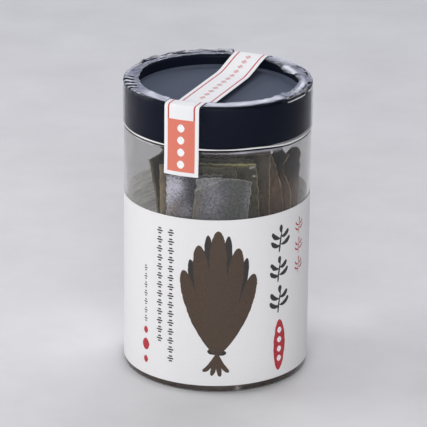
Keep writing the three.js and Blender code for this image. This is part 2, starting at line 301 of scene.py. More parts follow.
def piece(name, points, cells, materials, slot, nodes=(), sharp=40, flat=None, fields=None,
          painted=None):
    """Puts points in millimetres and cells into a mesh that rides on the body. flat is
    its UV map in millimetres, fields are named numbers for each point, and painted gives
    each cell's material."""
    mesh = bpy.data.meshes.new(name)
    mesh.from_pydata(points * MM, [], cells if isinstance(cells, list) else cells.tolist())
    for finish in materials:
        mesh.materials.append(finish)
    if flat is not None:
        corner = np.zeros(len(mesh.loops), np.int32)
        mesh.loops.foreach_get("vertex_index", corner)
        layer = mesh.uv_layers.new(name="flat")
        layer.data.foreach_set("uv", (flat[corner] * MM).astype(np.float32).ravel())
    for key, values in (fields or {}).items():
        layer = mesh.attributes.new(key, "FLOAT", "POINT")
        layer.data.foreach_set("value", np.asarray(values, np.float32).ravel())
    if painted is not None:
        mesh.polygons.foreach_set("material_index", np.asarray(painted, np.int32))
    mesh.polygons.foreach_set("use_smooth", np.ones(len(mesh.polygons), bool))
    mesh.set_sharp_from_angle(angle=math.radians(sharp))
    mesh.validate()
    mesh.update()
    made = bpy.data.objects.new(name, mesh)
    bpy.context.scene.collection.objects.link(made)
    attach(made, "root")
    if nodes:
        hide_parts(*nodes)
    return made


# ---------------------------------------------------------------------- materials
def add(tree, kind, sockets=None, **settings):
    """Adds one node. settings are its own values; sockets maps a socket's name or number
    to a plain value or to the output that feeds it."""
    made = tree.nodes.new(kind)
    for key, value in settings.items():
        setattr(made, key, value)
    for key, value in (sockets or {}).items():
        if isinstance(value, bpy.types.NodeSocket):
            tree.links.new(value, made.inputs[key])
        else:
            made.inputs[key].default_value = value
    return made


def material(name, recipe, *settings):
    """A node material. Its recipe makes the shader in its tree, from the place on the
    piece and from settings of its own."""
    made = bpy.data.materials.new(name)
    made.use_nodes = True
    made.node_tree.nodes.clear()
    place = add(made.node_tree, "ShaderNodeTexCoord").outputs["Object"]
    shader = recipe(made.node_tree, place, *settings)
    add(made.node_tree, "ShaderNodeOutputMaterial", {"Surface": shader})
    return made


def per(size):
    """The scale of a pattern whose features are this many millimetres."""
    return 1 / (size * MM)


def rgba(tone):
    """A colour socket's value from an sRGB hex colour or from three linear numbers."""
    return (*(linear(tone) if isinstance(tone, str) else tone), 1.0)


def relief(tree, place, size, detail, strength, depth):
    """The surface's normal where a noise raises it: features of this size and this depth,
    in millimetres."""
    height = add(tree, "ShaderNodeTexNoise",
                 {"Vector": place, "Scale": per(size), "Detail": detail}).outputs["Fac"]
    return add(tree, "ShaderNodeBump", {"Height": height, "Strength": strength,
                                        "Distance": depth * MM}).outputs["Normal"]


def let_lamps_through(tree, surface, tint):
    """Clear plastic that lamps and scattered light pass straight through, so that what
    is behind it is lit without caustics."""
    path = add(tree, "ShaderNodeLightPath").outputs
    either = add(tree, "ShaderNodeMath", {0: path["Is Shadow Ray"], 1: path["Is Diffuse Ray"]},
                 operation="MAXIMUM").outputs[0]
    straight = add(tree, "ShaderNodeBsdfTransparent", {"Color": rgba(tint)}).outputs[0]
    return add(tree, "ShaderNodeMixShader", {"Fac": either, 1: surface, 2: straight}).outputs[0]


def mottled(tree, tone, pattern, spread, darkest, lightest):
    """A tone scaled from darkest to lightest as a pattern goes over its spread, which is
    a pair of low and high."""
    shade = add(tree, "ShaderNodeMapRange", {
        "Value": pattern, "From Min": spread[0], "From Max": spread[1],
        "To Min": darkest, "To Max": lightest}).outputs["Result"]
    return add(tree, "ShaderNodeVectorMath", {0: tone, "Scale": shade},
               operation="SCALE").outputs["Vector"]


def two_toned(tree, place, size, first, second, roughness, index):
    """A finish that wanders between two tones in patches of this many millimetres."""
    patch = add(tree, "ShaderNodeTexNoise",
                {"Vector": place, "Scale": per(size), "Detail": 2.0}).outputs["Fac"]
    tone = add(tree, "ShaderNodeMix", {0: patch, 6: rgba(first), 7: rgba(second)},
               data_type="RGBA").outputs[2]
    return add(tree, "ShaderNodeBsdfPrincipled", {
        "Base Color": tone, "Roughness": roughness, "IOR": index}).outputs[0]


def clear_pet(tree, place, finish):
    """Blow-moulded PET: glass-clear and glossy, with the faint waviness of a blown wall.
    Round the shoulder a pale lavender line is painted on, a little milky where the plastic
    is thick and mostly a painted highlight. Its index is lower than the plastic's own
    1.57, so that the thin wall bends what is behind it as little as a real one does."""
    swell = relief(tree, place, 14, detail=1.0, strength=0.25, depth=0.2)
    body = add(tree, "ShaderNodeBsdfPrincipled", {
        "Base Color": rgba(finish.clear), "Roughness": 0.03, "IOR": 1.34,
        "Transmission Weight": 1.0, "Normal": swell}).outputs[0]
    # The pale lavender shader of the shoulder line: a little milkiness, mostly a painted
    # highlight.
    milky = add(tree, "ShaderNodeBsdfPrincipled", {
        "Base Color": rgba("e4e0ee"), "Roughness": 0.3, "IOR": 1.5}).outputs[0]
    milk_and_glint = add(tree, "ShaderNodeAttribute", attribute_name="milk_and_glint").outputs["Fac"]
    shown = add(tree, "ShaderNodeMixShader", {"Fac": milk_and_glint, 1: body, 2: milky}).outputs[0]
    return let_lamps_through(tree, shown, "fafafa")


def black_polypropylene(tree, place, tone, smoothest, roughest):
    """Injection-moulded polypropylene: blue-black with a satin gloss, or matt where the
    mould was etched, and a very fine moulded grain, drawn at 0.5 mm so that it shows.
    Its index is low because the film on it wets it and takes most of its gloss."""
    grain = relief(tree, place, 0.5, detail=2.0, strength=0.12, depth=0.02)
    haze = add(tree, "ShaderNodeTexNoise",
               {"Vector": place, "Scale": per(11), "Detail": 3.0}).outputs["Fac"]
    rough = add(tree, "ShaderNodeMapRange", {
        "Value": haze, "From Min": 0.3, "From Max": 0.7,
        "To Min": smoothest, "To Max": roughest}).outputs["Result"]
    return add(tree, "ShaderNodeBsdfPrincipled", {
        "Base Color": rgba(tone), "Roughness": rough, "IOR": 1.14,
        "Normal": grain}).outputs[0]


def shrink_film(tree, place, finish, index, pucker_depth):
    """Heat-shrunk PVC film: clear and glossy, with glints where the light grazes it. Over
    the rim a pale milky layer is mixed in by a field: partly the milkiness of many
    crumpled layers and partly painted highlights and glints, and it turns dark grey,
    a painted shade, where it lies down in folds. Where it lies tight on the skirt it
    wets the plastic, so its own gloss is weak."""
    pucker = relief(tree, place, 4, detail=1.0, strength=0.4, depth=pucker_depth)
    body = add(tree, "ShaderNodeBsdfPrincipled", {
        "Base Color": rgba(finish.film), "Roughness": 0.08, "IOR": index,
        "Transmission Weight": 1.0, "Normal": pucker}).outputs[0]
    # depth turns the milky shader's tone from pale to dark grey, a painted shade down in folds;
    # the pale tone carries painted highlights.
    depth = add(tree, "ShaderNodeAttribute", attribute_name="depth").outputs["Fac"]
    tone = add(tree, "ShaderNodeMix", {0: depth, 6: rgba("e2e4ee"), 7: rgba("4c4f5a")},
               data_type="RGBA").outputs[2]
    layers = add(tree, "ShaderNodeBsdfPrincipled", {
        "Base Color": tone, "Roughness": 0.2, "IOR": 1.5, "Normal": pucker}).outputs[0]
    milk_and_glint = add(tree, "ShaderNodeAttribute", attribute_name="milk_and_glint").outputs["Fac"]
    shown = add(tree, "ShaderNodeMixShader", {"Fac": milk_and_glint, 1: body, 2: layers}).outputs[0]
    return let_lamps_through(tree, shown, "f4f4f6")


def painted_fold_shade(tree, place):
    """Painted shade at the bottoms of sharp folds in the film, where it lies doubled on the
    black cap: dark and matt cells, put where no light comes back out of the folds."""
    return two_toned(tree, place, 1.5, "13151b", "2f323c", roughness=0.7, index=1.1)


def rolled_film_and_highlight(tree, place):
    """The film's hem, shrunk into a thick bead, and glossy: near white, partly the milkiness
    of its many layers and partly a painted highlight where the rolled edge catches the light."""
    return two_toned(tree, place, 3, "fdfdff", "eeebe6", roughness=0.2, index=1.5)


PAPER_SHINE_THROUGH = "e8e8e8"      # how much of a lamp's light passes a sheet


def coated_paper(tree, place, tone):
    """Clay-coated paper: white, smooth and slightly glossy, with a faint fibre
    unevenness and slow waves from being glued by machine. Some of the lamps' light
    shines through it, as it does through thin paper."""
    fibre = add(tree, "ShaderNodeTexNoise",
                {"Vector": place, "Scale": per(0.7), "Detail": 3.0}).outputs["Fac"]
    cockle = relief(tree, place, 16, detail=1.0, strength=0.3, depth=0.15)
    tinted = mottled(tree, tone, fibre, (0.3, 0.7), 0.97, 1.0)
    normal = add(tree, "ShaderNodeBump", {
        "Height": fibre, "Strength": 0.15, "Distance": 0.02 * MM,
        "Normal": cockle}).outputs["Normal"]
    body = add(tree, "ShaderNodeBsdfPrincipled", {
        "Base Color": tinted, "Roughness": 0.42, "IOR": 1.5, "Normal": normal}).outputs[0]
    shadow = add(tree, "ShaderNodeLightPath").outputs["Is Shadow Ray"]
    through = add(tree, "ShaderNodeBsdfTransparent",
                  {"Color": rgba(PAPER_SHINE_THROUGH)}).outputs[0]
    return add(tree, "ShaderNodeMixShader", {"Fac": shadow, 1: body, 2: through}).outputs[0]


def gummed_back(tree, place, tone):
    """The label's gummed back, seen through the clear wall: grey, with long brushed
    streaks of adhesive round the jar. It glows with the light that shines through the
    paper."""
    drawn = add(tree, "ShaderNodeMapping", {"Vector": place, "Scale": (0.1, 0.1, 1.0)},
                vector_type="POINT").outputs["Vector"]
    streak = add(tree, "ShaderNodeTexNoise", {"Vector": drawn, "Scale": per(1.6),
                                              "Detail": 3.0, "Roughness": 0.65}).outputs["Fac"]
    tinted = mottled(tree, tone, streak, (0.35, 0.65), 0.76, 1.3)
    body = add(tree, "ShaderNodeBsdfPrincipled",
               {"Base Color": tinted, "Roughness": 0.6}).outputs[0]
    glow = add(tree, "ShaderNodeBsdfTranslucent", {"Color": tinted}).outputs[0]
    return add(tree, "ShaderNodeMixShader", {"Fac": 0.85, 1: body, 2: glow}).outputs[0]


def printing_ink(tree, place, tone):
    """Offset ink on coated paper: flat and slightly glossy, a little thin in places."""
    speck = add(tree, "ShaderNodeTexNoise",
                {"Vector": place, "Scale": per(0.5), "Detail": 4.0}).outputs["Fac"]
    tinted = mottled(tree, tone, speck, (0.35, 0.7), 0.85, 1.35)
    return add(tree, "ShaderNodeBsdfPrincipled",
               {"Base Color": tinted, "Roughness": 0.45}).outputs[0]


LINE_INSET = 2.05                   # middle of each red line from the strip's edge
LINE_WIDTH = 0.72
CORAL_MARGIN = 1.8                  # bare paper below the coral field
CORAL_LENGTH = 24.2


def printed_strip_paper(tree, place, finish, width, path_length):
    """White coated paper printed with a thin red line along each edge and, on each tail,
    a coral field between the lines. The map runs across from the middle and along from
    the front tail's end."""
    flat = add(tree, "ShaderNodeUVMap", uv_map="flat").outputs["UV"]
    parts = add(tree, "ShaderNodeSeparateXYZ", {"Vector": flat}).outputs
    line_at = (width / 2 - LINE_INSET) * MM
    half_line = LINE_WIDTH / 2 * MM
    values = {"across": parts["X"], "along": parts["Y"]}
    # Each step: its name, and an operation on two values, numbers or earlier steps.
    steps = [
        ("side", "ABSOLUTE", "across", 0.0),
        ("from_line", "SUBTRACT", "side", line_at),
        ("off_line", "ABSOLUTE", "from_line", 0.0),
        ("on_line", "LESS_THAN", "off_line", half_line),
        ("from_back", "SUBTRACT", path_length * MM, "along"),
        ("from_end", "MINIMUM", "along", "from_back"),
        ("inside", "LESS_THAN", "side", line_at + half_line),
        ("above", "GREATER_THAN", "from_end", CORAL_MARGIN * MM),
        ("below", "LESS_THAN", "from_end", (CORAL_MARGIN + CORAL_LENGTH) * MM),
        ("on_tail", "MULTIPLY", "above", "below"),
        ("field", "MULTIPLY", "inside", "on_tail"),
        ("line", "MULTIPLY", "on_line", "above"),
    ]
    for name, operation, first, second in steps:
        values[name] = add(tree, "ShaderNodeMath",
                           {0: values.get(first, first), 1: values.get(second, second)},
                           operation=operation).outputs[0]
    painted = rgba(finish.strip_paper)
    for share, ink in (("line", finish.line_red), ("field", finish.coral)):
        painted = add(tree, "ShaderNodeMix", {0: values[share], 6: painted, 7: rgba(ink)},
                      data_type="RGBA").outputs[2]
    fibre = relief(tree, place, 0.6, detail=3.0, strength=0.15, depth=0.02)
    return add(tree, "ShaderNodeBsdfPrincipled", {
        "Base Color": painted, "Roughness": 0.45, "Normal": fibre}).outputs[0]


# Colours of each kind of kelp: its dark and mid ground, and the tone of each layer.
KELP_FINISHES = {
    "kelp_bloomed": dict(ground=("2b2d31", "585957"), dark="2b2d31", green="595d47",
                         warm="8c7664", bloom="e2e0f0", edge="c9c8b8"),
    "kelp_olive": dict(ground=("26241b", "57533f"), dark="26241b", green="b9b878",
                       warm="927d62", bloom="c4c2ba", edge="c4bc8a"),
    "kelp_brown": dict(ground=("1f1d1f", "54493f"), dark="1f1d1f", green="5c5a44",
                       warm="7e5f48", bloom="aaa39c", edge="dcbc9c"),
}
# The layers that lie on the ground, each over the ones before it, and the factors whose
# product is the share of a layer that shows. A factor is the layer's own field, or a
# pattern, two of its values and the factors there. Each product is held to 0 to 1.
KELP_LAYERS = {
    "dark": ["field", ("cloud", 0.25, 0.5, 0.5, 1.0)],
    "green": ["field", ("dust", 0.35, 0.6, 0.3, 1.0)],
    "warm": ["field", ("grain", 0.32, 0.62, 0.25, 1.0)],
    "bloom": ["field", ("dust", 0.4, 0.6, 0.3, 1.05), ("pit", 0.12, 0.32, 0.12, 1.08)],
    "edge": [("dust", 0.36, 0.58, 0.3, 1.2), ("cloud", 0.36, 0.56, 0.25, 1.15), "field"],
}
LEAST_BLOOM = 0.1                   # bloom where a sheet has no patch of it


def dried_kelp(tree, place, tones):
    """Dried kelp: leathery and matt, dark with fine lengthwise grain, brown or olive in
    places, dusted with a whitish bloom of its own salts that lies in specks, and paler
    along its edges, partly where it was cut and partly a painted highlight where the thin
    edges catch the light."""
    flat = add(tree, "ShaderNodeUVMap", uv_map="flat").outputs["UV"]
    drawn = add(tree, "ShaderNodeMapping", {"Vector": flat, "Scale": (1.0, 0.2, 1.0)},
                vector_type="POINT").outputs["Vector"]
    patterns = {"pit": add(tree, "ShaderNodeTexVoronoi",
                           {"Vector": flat, "Scale": per(1.2)}).outputs["Distance"]}
    for key, vector, size, roughness in (("grain", drawn, 1.0, 0.65), ("cloud", place, 6, 0.6),
                                         ("dust", flat, 1.1, 0.8)):
        patterns[key] = add(tree, "ShaderNodeTexNoise", {
            "Vector": vector, "Scale": per(size), "Detail": 4.0,
            "Roughness": roughness}).outputs["Fac"]
    both = add(tree, "ShaderNodeMath", {0: patterns["grain"], 1: patterns["cloud"]},
               operation="ADD").outputs[0]
    share = add(tree, "ShaderNodeMapRange",
                {"Value": both, "From Min": 0.84, "From Max": 1.16}).outputs["Result"]
    shown = add(tree, "ShaderNodeMix", {0: share, 6: rgba(tones["ground"][0]),
                                        7: rgba(tones["ground"][1])}, data_type="RGBA").outputs[2]
    shares = {}
    for layer, factors in KELP_LAYERS.items():
        field = add(tree, "ShaderNodeAttribute", attribute_name=layer).outputs["Fac"]
        if layer == "bloom":
            field = add(tree, "ShaderNodeMath", {0: field, 1: LEAST_BLOOM},
                        operation="ADD").outputs[0]
        values = [field if factor == "field" else add(tree, "ShaderNodeMapRange", {
            "Value": patterns[factor[0]], "From Min": factor[1], "From Max": factor[2],
            "To Min": factor[3], "To Max": factor[4]}).outputs["Result"] for factor in factors]
        share = values[0]
        for value in values[1:]:
            share = add(tree, "ShaderNodeMath", {0: share, 1: value}, operation="MULTIPLY",
                        use_clamp=True).outputs[0]
        shown = add(tree, "ShaderNodeMix", {0: share, 6: shown, 7: rgba(tones[layer])},
                    data_type="RGBA").outputs[2]
        shares[layer] = share
    rough = add(tree, "ShaderNodeMapRange", {
        "Value": shares["bloom"], "From Min": 0.0, "From Max": 0.6,
        "To Min": 0.5, "To Max": 0.85}).outputs["Result"]
    coarse = add(tree, "ShaderNodeBump", {"Height": patterns["grain"], "Strength": 0.7,
                                          "Distance": 0.2 * MM}).outputs["Normal"]
    normal = add(tree, "ShaderNodeBump", {
        "Height": patterns["dust"], "Strength": 0.5, "Distance": 0.08 * MM,
        "Normal": coarse}).outputs["Normal"]
    return add(tree, "ShaderNodeBsdfPrincipled", {
        "Base Color": shown, "Roughness": rough, "IOR": 1.4, "Normal": normal}).outputs[0]


def plaster_floor(tree, place, tone):
    """Smooth plaster ground: pale, matt and faintly clouded."""
    cloud = add(tree, "ShaderNodeTexNoise", {"Vector": place, "Scale": per(60),
                                             "Detail": 6.0, "Roughness": 0.6}).outputs["Fac"]
    tinted = mottled(tree, tone, cloud, (0.3, 0.7), 0.94, 1.04)
    return add(tree, "ShaderNodeBsdfPrincipled",
               {"Base Color": tinted, "Roughness": 0.85}).outputs[0]


# ------------------------------------------------------------------- turned pieces
TURN_COLUMNS = 192
PANEL_STEP = 0.5                    # height over which the body widens above the panel
PUSH_UP_SLOPE = 3.5                 # width of the slope round the sunk middle of the base
LIP = 0.5                           # rounding at the neck's foot and at the mouth
UNDER_SHOULDER = 0.6                # rounding inside the shoulder


def jar_surface(size):
    """The jar turned about Z from its profile: a base sunk in the middle down a cosine
    slope, rounded foot, straight body with a panel for the label, flat shoulder and
    neck, and the same inside at the wall's distance, which is less at the foot."""
    inner = size.body_radius - size.wall
    panel_inner = size.panel_radius - size.wall
    neck_inner = size.neck_radius - size.wall
    under = size.shoulder_top - size.wall
    foot_at = size.panel_radius - size.foot_radius
    shoulder_at = size.shoulder_top - size.shoulder_radius
    share = np.linspace(0, 1, 9)[:, None]
    sunk = np.concatenate([size.push_up_radius + PUSH_UP_SLOPE * share,
                           size.push_up * (1 + np.cos(np.pi * share)) / 2], -1)
    return with_poles(turned(np.concatenate([
        [[0, size.push_up]], sunk,
        arc(foot_at, size.foot_radius, size.foot_radius, -90, 0, 12),
        [[size.panel_radius, 10], [size.panel_radius, size.panel_top - 0.1],
         [size.body_radius, size.panel_top + PANEL_STEP], [size.body_radius, shoulder_at - 8],
         [size.body_radius, shoulder_at - 1.5]],
        arc(size.body_radius - size.shoulder_radius, shoulder_at, size.shoulder_radius, 0, 90),
        arc(size.neck_radius + LIP, size.shoulder_top + LIP, LIP, -90, -180, 4),
        arc(size.neck_radius - LIP, size.neck_top - LIP, LIP, 0, 90, 5),
        [[neck_inner, size.neck_top - 0.3], [neck_inner, under + 0.3],
         [neck_inner + 0.3, under]],
        arc(inner - UNDER_SHOULDER, under - UNDER_SHOULDER, UNDER_SHOULDER, 90, 0, 4),
        [[inner, size.panel_top + PANEL_STEP], [panel_inner, size.panel_top - 0.1],
         [panel_inner, 6]],
        arc(foot_at, size.foot_radius, size.foot_radius - size.foot_wall, 0, -90, 10),
        sunk[::-1] + [0, size.foot_wall],
        [[0, size.push_up + size.foot_wall]]]), TURN_COLUMNS))


def shoulder_milk_and_highlight(size, points):
    """How much of the painted shoulder line each point of the jar's wall shows: a thin line
    round the shoulder, where the plastic is thick, faint all round as milkiness and, as a
    painted highlight, strongest a little right of the front; it sinks to the right, as
    the film's hem does above it."""
    degrees = np.degrees(np.arctan2(points[:, 0], -points[:, 1]))
    radius, height = np.hypot(points[:, 0], points[:, 1]), points[:, 2]
    line_at = size.shoulder_top - 1.2 - 0.6 * hem_drop(degrees)
    from_corner = np.hypot(radius - size.body_radius + size.shoulder_radius,
                           height - size.shoulder_top + size.shoulder_radius)
    outer = (radius > size.neck_radius + 1) & (from_corner > size.shoulder_radius - 0.1)
    strength = 0.07 + hills(degrees, [(15, 7, 0.55), (33, 14, 0.42)])
    return strength * bump(height, line_at, 0.45) * outer


RECESS_WALL = 1.0                   # thickness of the wall round the recess
SKIRT_ROUNDING = 0.35               # at the skirt's lower edge
RECESS_FILLET = 0.7                 # rounding between the recess floor and its ledge
RECESS_CROWN = 0.1                  # how far the floor's middle stands up


def cap_surface(size):
    """The cap turned about Z from its profile: underside, skirt, rounded rim, recess
    wall with a narrow ledge at its foot, and the sunk floor, crowned by a tenth of a
    millimetre. Its last field says which cells are the matt floor of the recess."""
    wall_outside = size.recess_radius + RECESS_WALL
    under_floor = size.recess_floor - size.wall
    under_rim = size.top - size.wall
    skirt_inner = size.radius - size.wall
    edge_at = size.top - size.edge_radius
    floor_edge = size.recess_radius - size.ledge
    ledge_height = size.recess_floor + size.ledge_rise
    points, cells = with_poles(turned(np.concatenate([
        [[0, under_floor], [size.recess_radius, under_floor],
         [wall_outside, size.recess_floor], [wall_outside, under_rim],
         [skirt_inner, under_rim], [skirt_inner, size.bottom + 0.3],
         [skirt_inner + 0.3, size.bottom]],
        arc(size.radius - SKIRT_ROUNDING, size.bottom + SKIRT_ROUNDING, SKIRT_ROUNDING, -90, 0, 5),
        [[size.radius, (size.bottom + size.top) / 2]],
        arc(size.radius - size.edge_radius, edge_at, size.edge_radius, 0, 90, 10),
        arc(size.recess_radius + size.edge_radius, edge_at, size.edge_radius, 90, 180, 10),
        [[size.recess_radius, ledge_height + 0.1], [size.recess_radius - 0.1, ledge_height],
         [floor_edge + 0.08, ledge_height - 0.05]],
        arc(floor_edge - RECESS_FILLET, size.recess_floor + RECESS_FILLET, RECESS_FILLET,
            0, -90, 6),
        [[24, size.recess_floor + 0.06], [12, size.recess_floor + RECESS_CROWN],
         [0, size.recess_floor + RECESS_CROWN]]]), TURN_COLUMNS))
    middle = (points[[cell[0] for cell in cells]] + points[[cell[2] for cell in cells]]) / 2
    sunk = ((middle[:, 2] > size.recess_floor - 0.05) & (middle[:, 2] < ledge_height + 0.08)
            & (np.hypot(middle[:, 0], middle[:, 1]) < size.recess_radius - 0.02))
    return points, cells, sunk


# ----------------------------------------------------------------------------- film
FILM_COLUMNS = 840
FLAT_FROM = 39.0                    # radius from which the film lies flat on the rim
AROUND_RADIUS = 42                  # radius at which distances round the film are taken
STRIP_PRESS = 0.45                  # how far the seal strip presses the film down

# Hills round the axis: middle and reach in degrees from the front, and height.
HEM_REACH = [(-52, 30, 1.1), (5, 40, 0.6), (15, 25, 0.6), (115, 13, 2.4), (54, 9, 2.6),
             (82, 13, -0.3)]
HEM_DROOP = [(118, 18, 1.2), (56, 11, 1.5)]
CRUMPLED_LEFT = [(-80, 26, 1.0), (-130, 30, 0.7)]
CRUMPLED_RIGHT = [(105, 42, 1.0), (50, 25, 0.8)]
PUFFED_OUT = [(-92, 26, 0.25), (92, 22, 0.25)]

# The second of these is a dark painted shade at the bottoms of folds.
TIGHT, FOLD_SHADE = 1, 2                  # places of two of the film's materials; 0 is crumpled


def folds(along, pitch, wander=0):
    """Sharp folds at an even pitch: 1 less the size of the sine of pi times the distance
    along over the pitch, plus a wander."""
    return 1 - np.abs(np.sin(np.pi * along / pitch + wander))


def hem_drop(degrees):
    """How far the film's lower hem hangs lower on the right."""
    return 1.3 * smooth(degrees, 20, 50) * smooth(degrees, 170, 120)


def film_sheet(size, angle, strip_turn, strip_half):
    """The film before it crinkles, as grids of radius and height. Its rows go from the
    free hem over the recess, across the rim, round its edge and down the skirt. Hills and
    waves round the axis make the free hem reach further in and droop into the recess,
    and draw it back under the seal strip. The lower hem drops on the right."""
    degrees = np.degrees(angle)
    at_back = smooth(degrees, -100, -125) + smooth(degrees, 140, 155)
    uneven = 0.25 * waves(degrees, 0, 14, 3) + 0.15 * waves(degrees, 0, 5, 4)
    reach = hills(degrees, HEM_REACH) - 1.5 * at_back + (1 - 0.8 * at_back) * uneven
    droop = 0.1 + hills(degrees, HEM_DROOP) + 0.08 * waves(degrees, 0, 17, 5)
    strip_side = np.abs(FLAT_FROM * np.sin(angle + strip_turn))
    under_strip = smooth(strip_side, strip_half + 0.7, strip_half - 0.1)
    hem_radius = size.inner_radius - reach
    hem_radius = hem_radius + (FLAT_FROM - 0.8 - hem_radius) * under_strip
    share = np.linspace(0, 1, 15)[:, None]
    hem_sag = droop * np.clip(1 - share * 1.6, 0, 1) ** 2
    edge_at = size.top - size.edge_radius
    corner_at = size.radius - size.edge_radius
    rim = np.linspace(FLAT_FROM, corner_at, 7)[1:-1]
    skirt = np.concatenate([np.linspace(edge_at - 0.6, edge_at - 3, 5),
                            np.linspace(edge_at - 5, size.hem + 1.6, 6)])
    lower = np.concatenate([
        np.stack([rim, 0 * rim + size.top], -1),
        arc(corner_at, edge_at, size.edge_radius, 90, 0, 11),
        np.stack([0 * skirt + size.radius, skirt], -1),
        [[size.radius, size.hem + 0.8], [size.radius - 0.06, size.hem + 0.25],
         [size.radius - 0.3, size.hem]]])
    radius = np.concatenate([hem_radius + (FLAT_FROM - hem_radius) * share,
                             lower[:, :1] + 0 * angle])
    height = np.concatenate([size.top - hem_sag, lower[:, 1:] + 0 * angle])
    return radius, height - hem_drop(degrees) * smooth(height, size.hem + 5, size.hem)


def film_places(size, angle, radius, height):
    """Named grids that the film's crinkles and its looks are made from: down is the
    distance from the free hem and from_edge the distance past the rim's outer edge; left,
    right, front and behind say how much a point belongs to each side; pleats are wide
    folds on the left with bars between them, and stitch is a row of short ones in front;
    field is a net of sharp crinkles, 1 less the size of a wave field; streak is a wave
    field drawn out round the rim."""
    degrees, around = np.degrees(angle), angle * AROUND_RADIUS
    steps = np.hypot(np.diff(radius[:, 0]), np.diff(height[:, 0]))
    down = np.concatenate([[0], np.cumsum(steps)])[:, None]
    from_edge = down - down[np.argmax(radius[:, 0] >= size.radius - 1e-6)]
    return types.SimpleNamespace(
        degrees=degrees, around=around, radius=radius, down=down, from_edge=from_edge,
        left=hills(degrees, CRUMPLED_LEFT), right=hills(degrees, CRUMPLED_RIGHT),
        front=smooth(degrees, -64, -52) * smooth(degrees, 50, 42),
        behind=smooth(degrees, -105, -135) + smooth(degrees, 150, 170),
        on_rim=smooth(-from_edge, 1.5, 3.5) * smooth(-from_edge, 10.5, 8.0),
        pleats=bump(degrees, -80, 12), bars=folds(around + 0.4 * down, 4.6),
        stitch=bump(degrees, -55, 14) * folds(around + 0.6 * down, 1.7),
        field=np.clip(1 - np.abs(waves(around * 0.6, down, 5.5, 12, 7)), 0, 1),
        streak=waves(around * 0.35, down * 1.3, 3.2, 14, 7))


def film_lift(at):
    """How far the film stands off the cap: slanting ridges at the rim's edge on the left,
    the net of crinkles to a power on the rim, at its edge and on the skirt, thick folds
    behind, and a puff on the skirt at either side."""
    degrees, from_edge, field = at.degrees, at.from_edge, at.field
    at_edge = bump(from_edge, -1.2, 2.0)
    ridge = folds(at.around + 1.1 * at.down, 3.1, 0.5 * waves(at.around, at.down, 14, 11)) ** 3
    return (0.5 * at_edge * (0.2 + bump(degrees, -72, 22)) * (1 - 0.7 * at.pleats) * ridge
            + 0.4 * at_edge * bump(degrees, -108, 22) * field ** 2
            + (0.05 + 0.08 * at.left + 0.4 * at.right) * at.on_rim * field ** 3
            + (0.1 + 0.25 * at.right) * at_edge * field ** 3
            + at.behind * bump(from_edge, -0.8, 1.6) * (0.45 + 0.6 * field)
            + 0.02 * smooth(from_edge, 0, 2) * field ** 4
            + hills(degrees, PUFFED_OUT) * smooth(from_edge, 0, 3))


def film_milk_glints_and_shade(at, pressed):
    """How pale and milky the film is painted, and how much of that is dark painted shade
    in folds. The pale part is partly the milkiness of crumpled layers and partly painted
    highlights. In turn: a haze over the rim in front, the bars of the pleats, the thick
    folds behind, the row of short folds, a long crumple beside the right of the recess
    and two patches behind it, glints on the folds behind, and faint streaks at both
    sides. Nothing shows under the seal strip."""
    degrees, down, from_edge, radius = at.degrees, at.down, at.from_edge, at.radius
    folded = at.behind * bump(from_edge, -0.3, 1.2) * (0.55 + 0.4 * at.field)
    milk_and_glint = sum([
        at.front * (0.62 + 0.2 * at.streak) * smooth(down, 0, 0.7) * smooth(from_edge, -1.6, -4.6),
        0.9 * at.pleats * smooth(at.bars, 0.3, 0.5) * bump(from_edge, -2.7, 1.9),
        folded,
        0.9 * at.stitch * bump(from_edge, -1.6, 0.4),
        0.95 * bump(degrees, 76, 14) * bump(radius, 38.7 - 0.03 * (degrees - 76), 0.9),
        0.95 * smooth(degrees, 101, 105) * smooth(degrees, 126, 121) * bump(radius, 36, 1.2),
        0.45 * bump(degrees, 131, 9) * bump(radius, 40.5, 2.6),
        0.35 * at.behind * at.field ** 2 * smooth(from_edge, 0.2, -0.6),
        0.1 * (at.left + at.right) * np.clip(at.streak, 0, 1) * at.on_rim])
    milk_and_glint = np.clip(milk_and_glint * (1 - pressed), 0, 1)
    # The second field is the share of the milky layer that is painted as dark fold shade.
    return milk_and_glint, np.clip(folded / np.maximum(milk_and_glint, 0.05), 0, 1)


def film_kinds(at, on_skirt):
    """Which material each point of the film has: tight on the skirt and along the rim's
    edge in front, a dark painted shade at the bottoms of folds near the rim's edge, and
    crumpled elsewhere."""
    from_edge = at.from_edge
    in_fold_shade = np.any([(at.front - at.stitch > 0.5) & (from_edge > -2.0),
                   (at.pleats > 0.35) & (at.bars < 0.3) & (from_edge > -4.7),
                   (at.behind > 0.5) & (at.streak < -0.75) & (from_edge > -5),
                   (at.right > 0.4) & (at.streak < -0.9) & (from_edge > -2.6)], axis=0)
    calm = (at.degrees > -86) & (at.degrees < 42) & (from_edge > -1.1)
    return np.where(on_skirt | calm, TIGHT, np.where(in_fold_shade, FOLD_SHADE, 0))


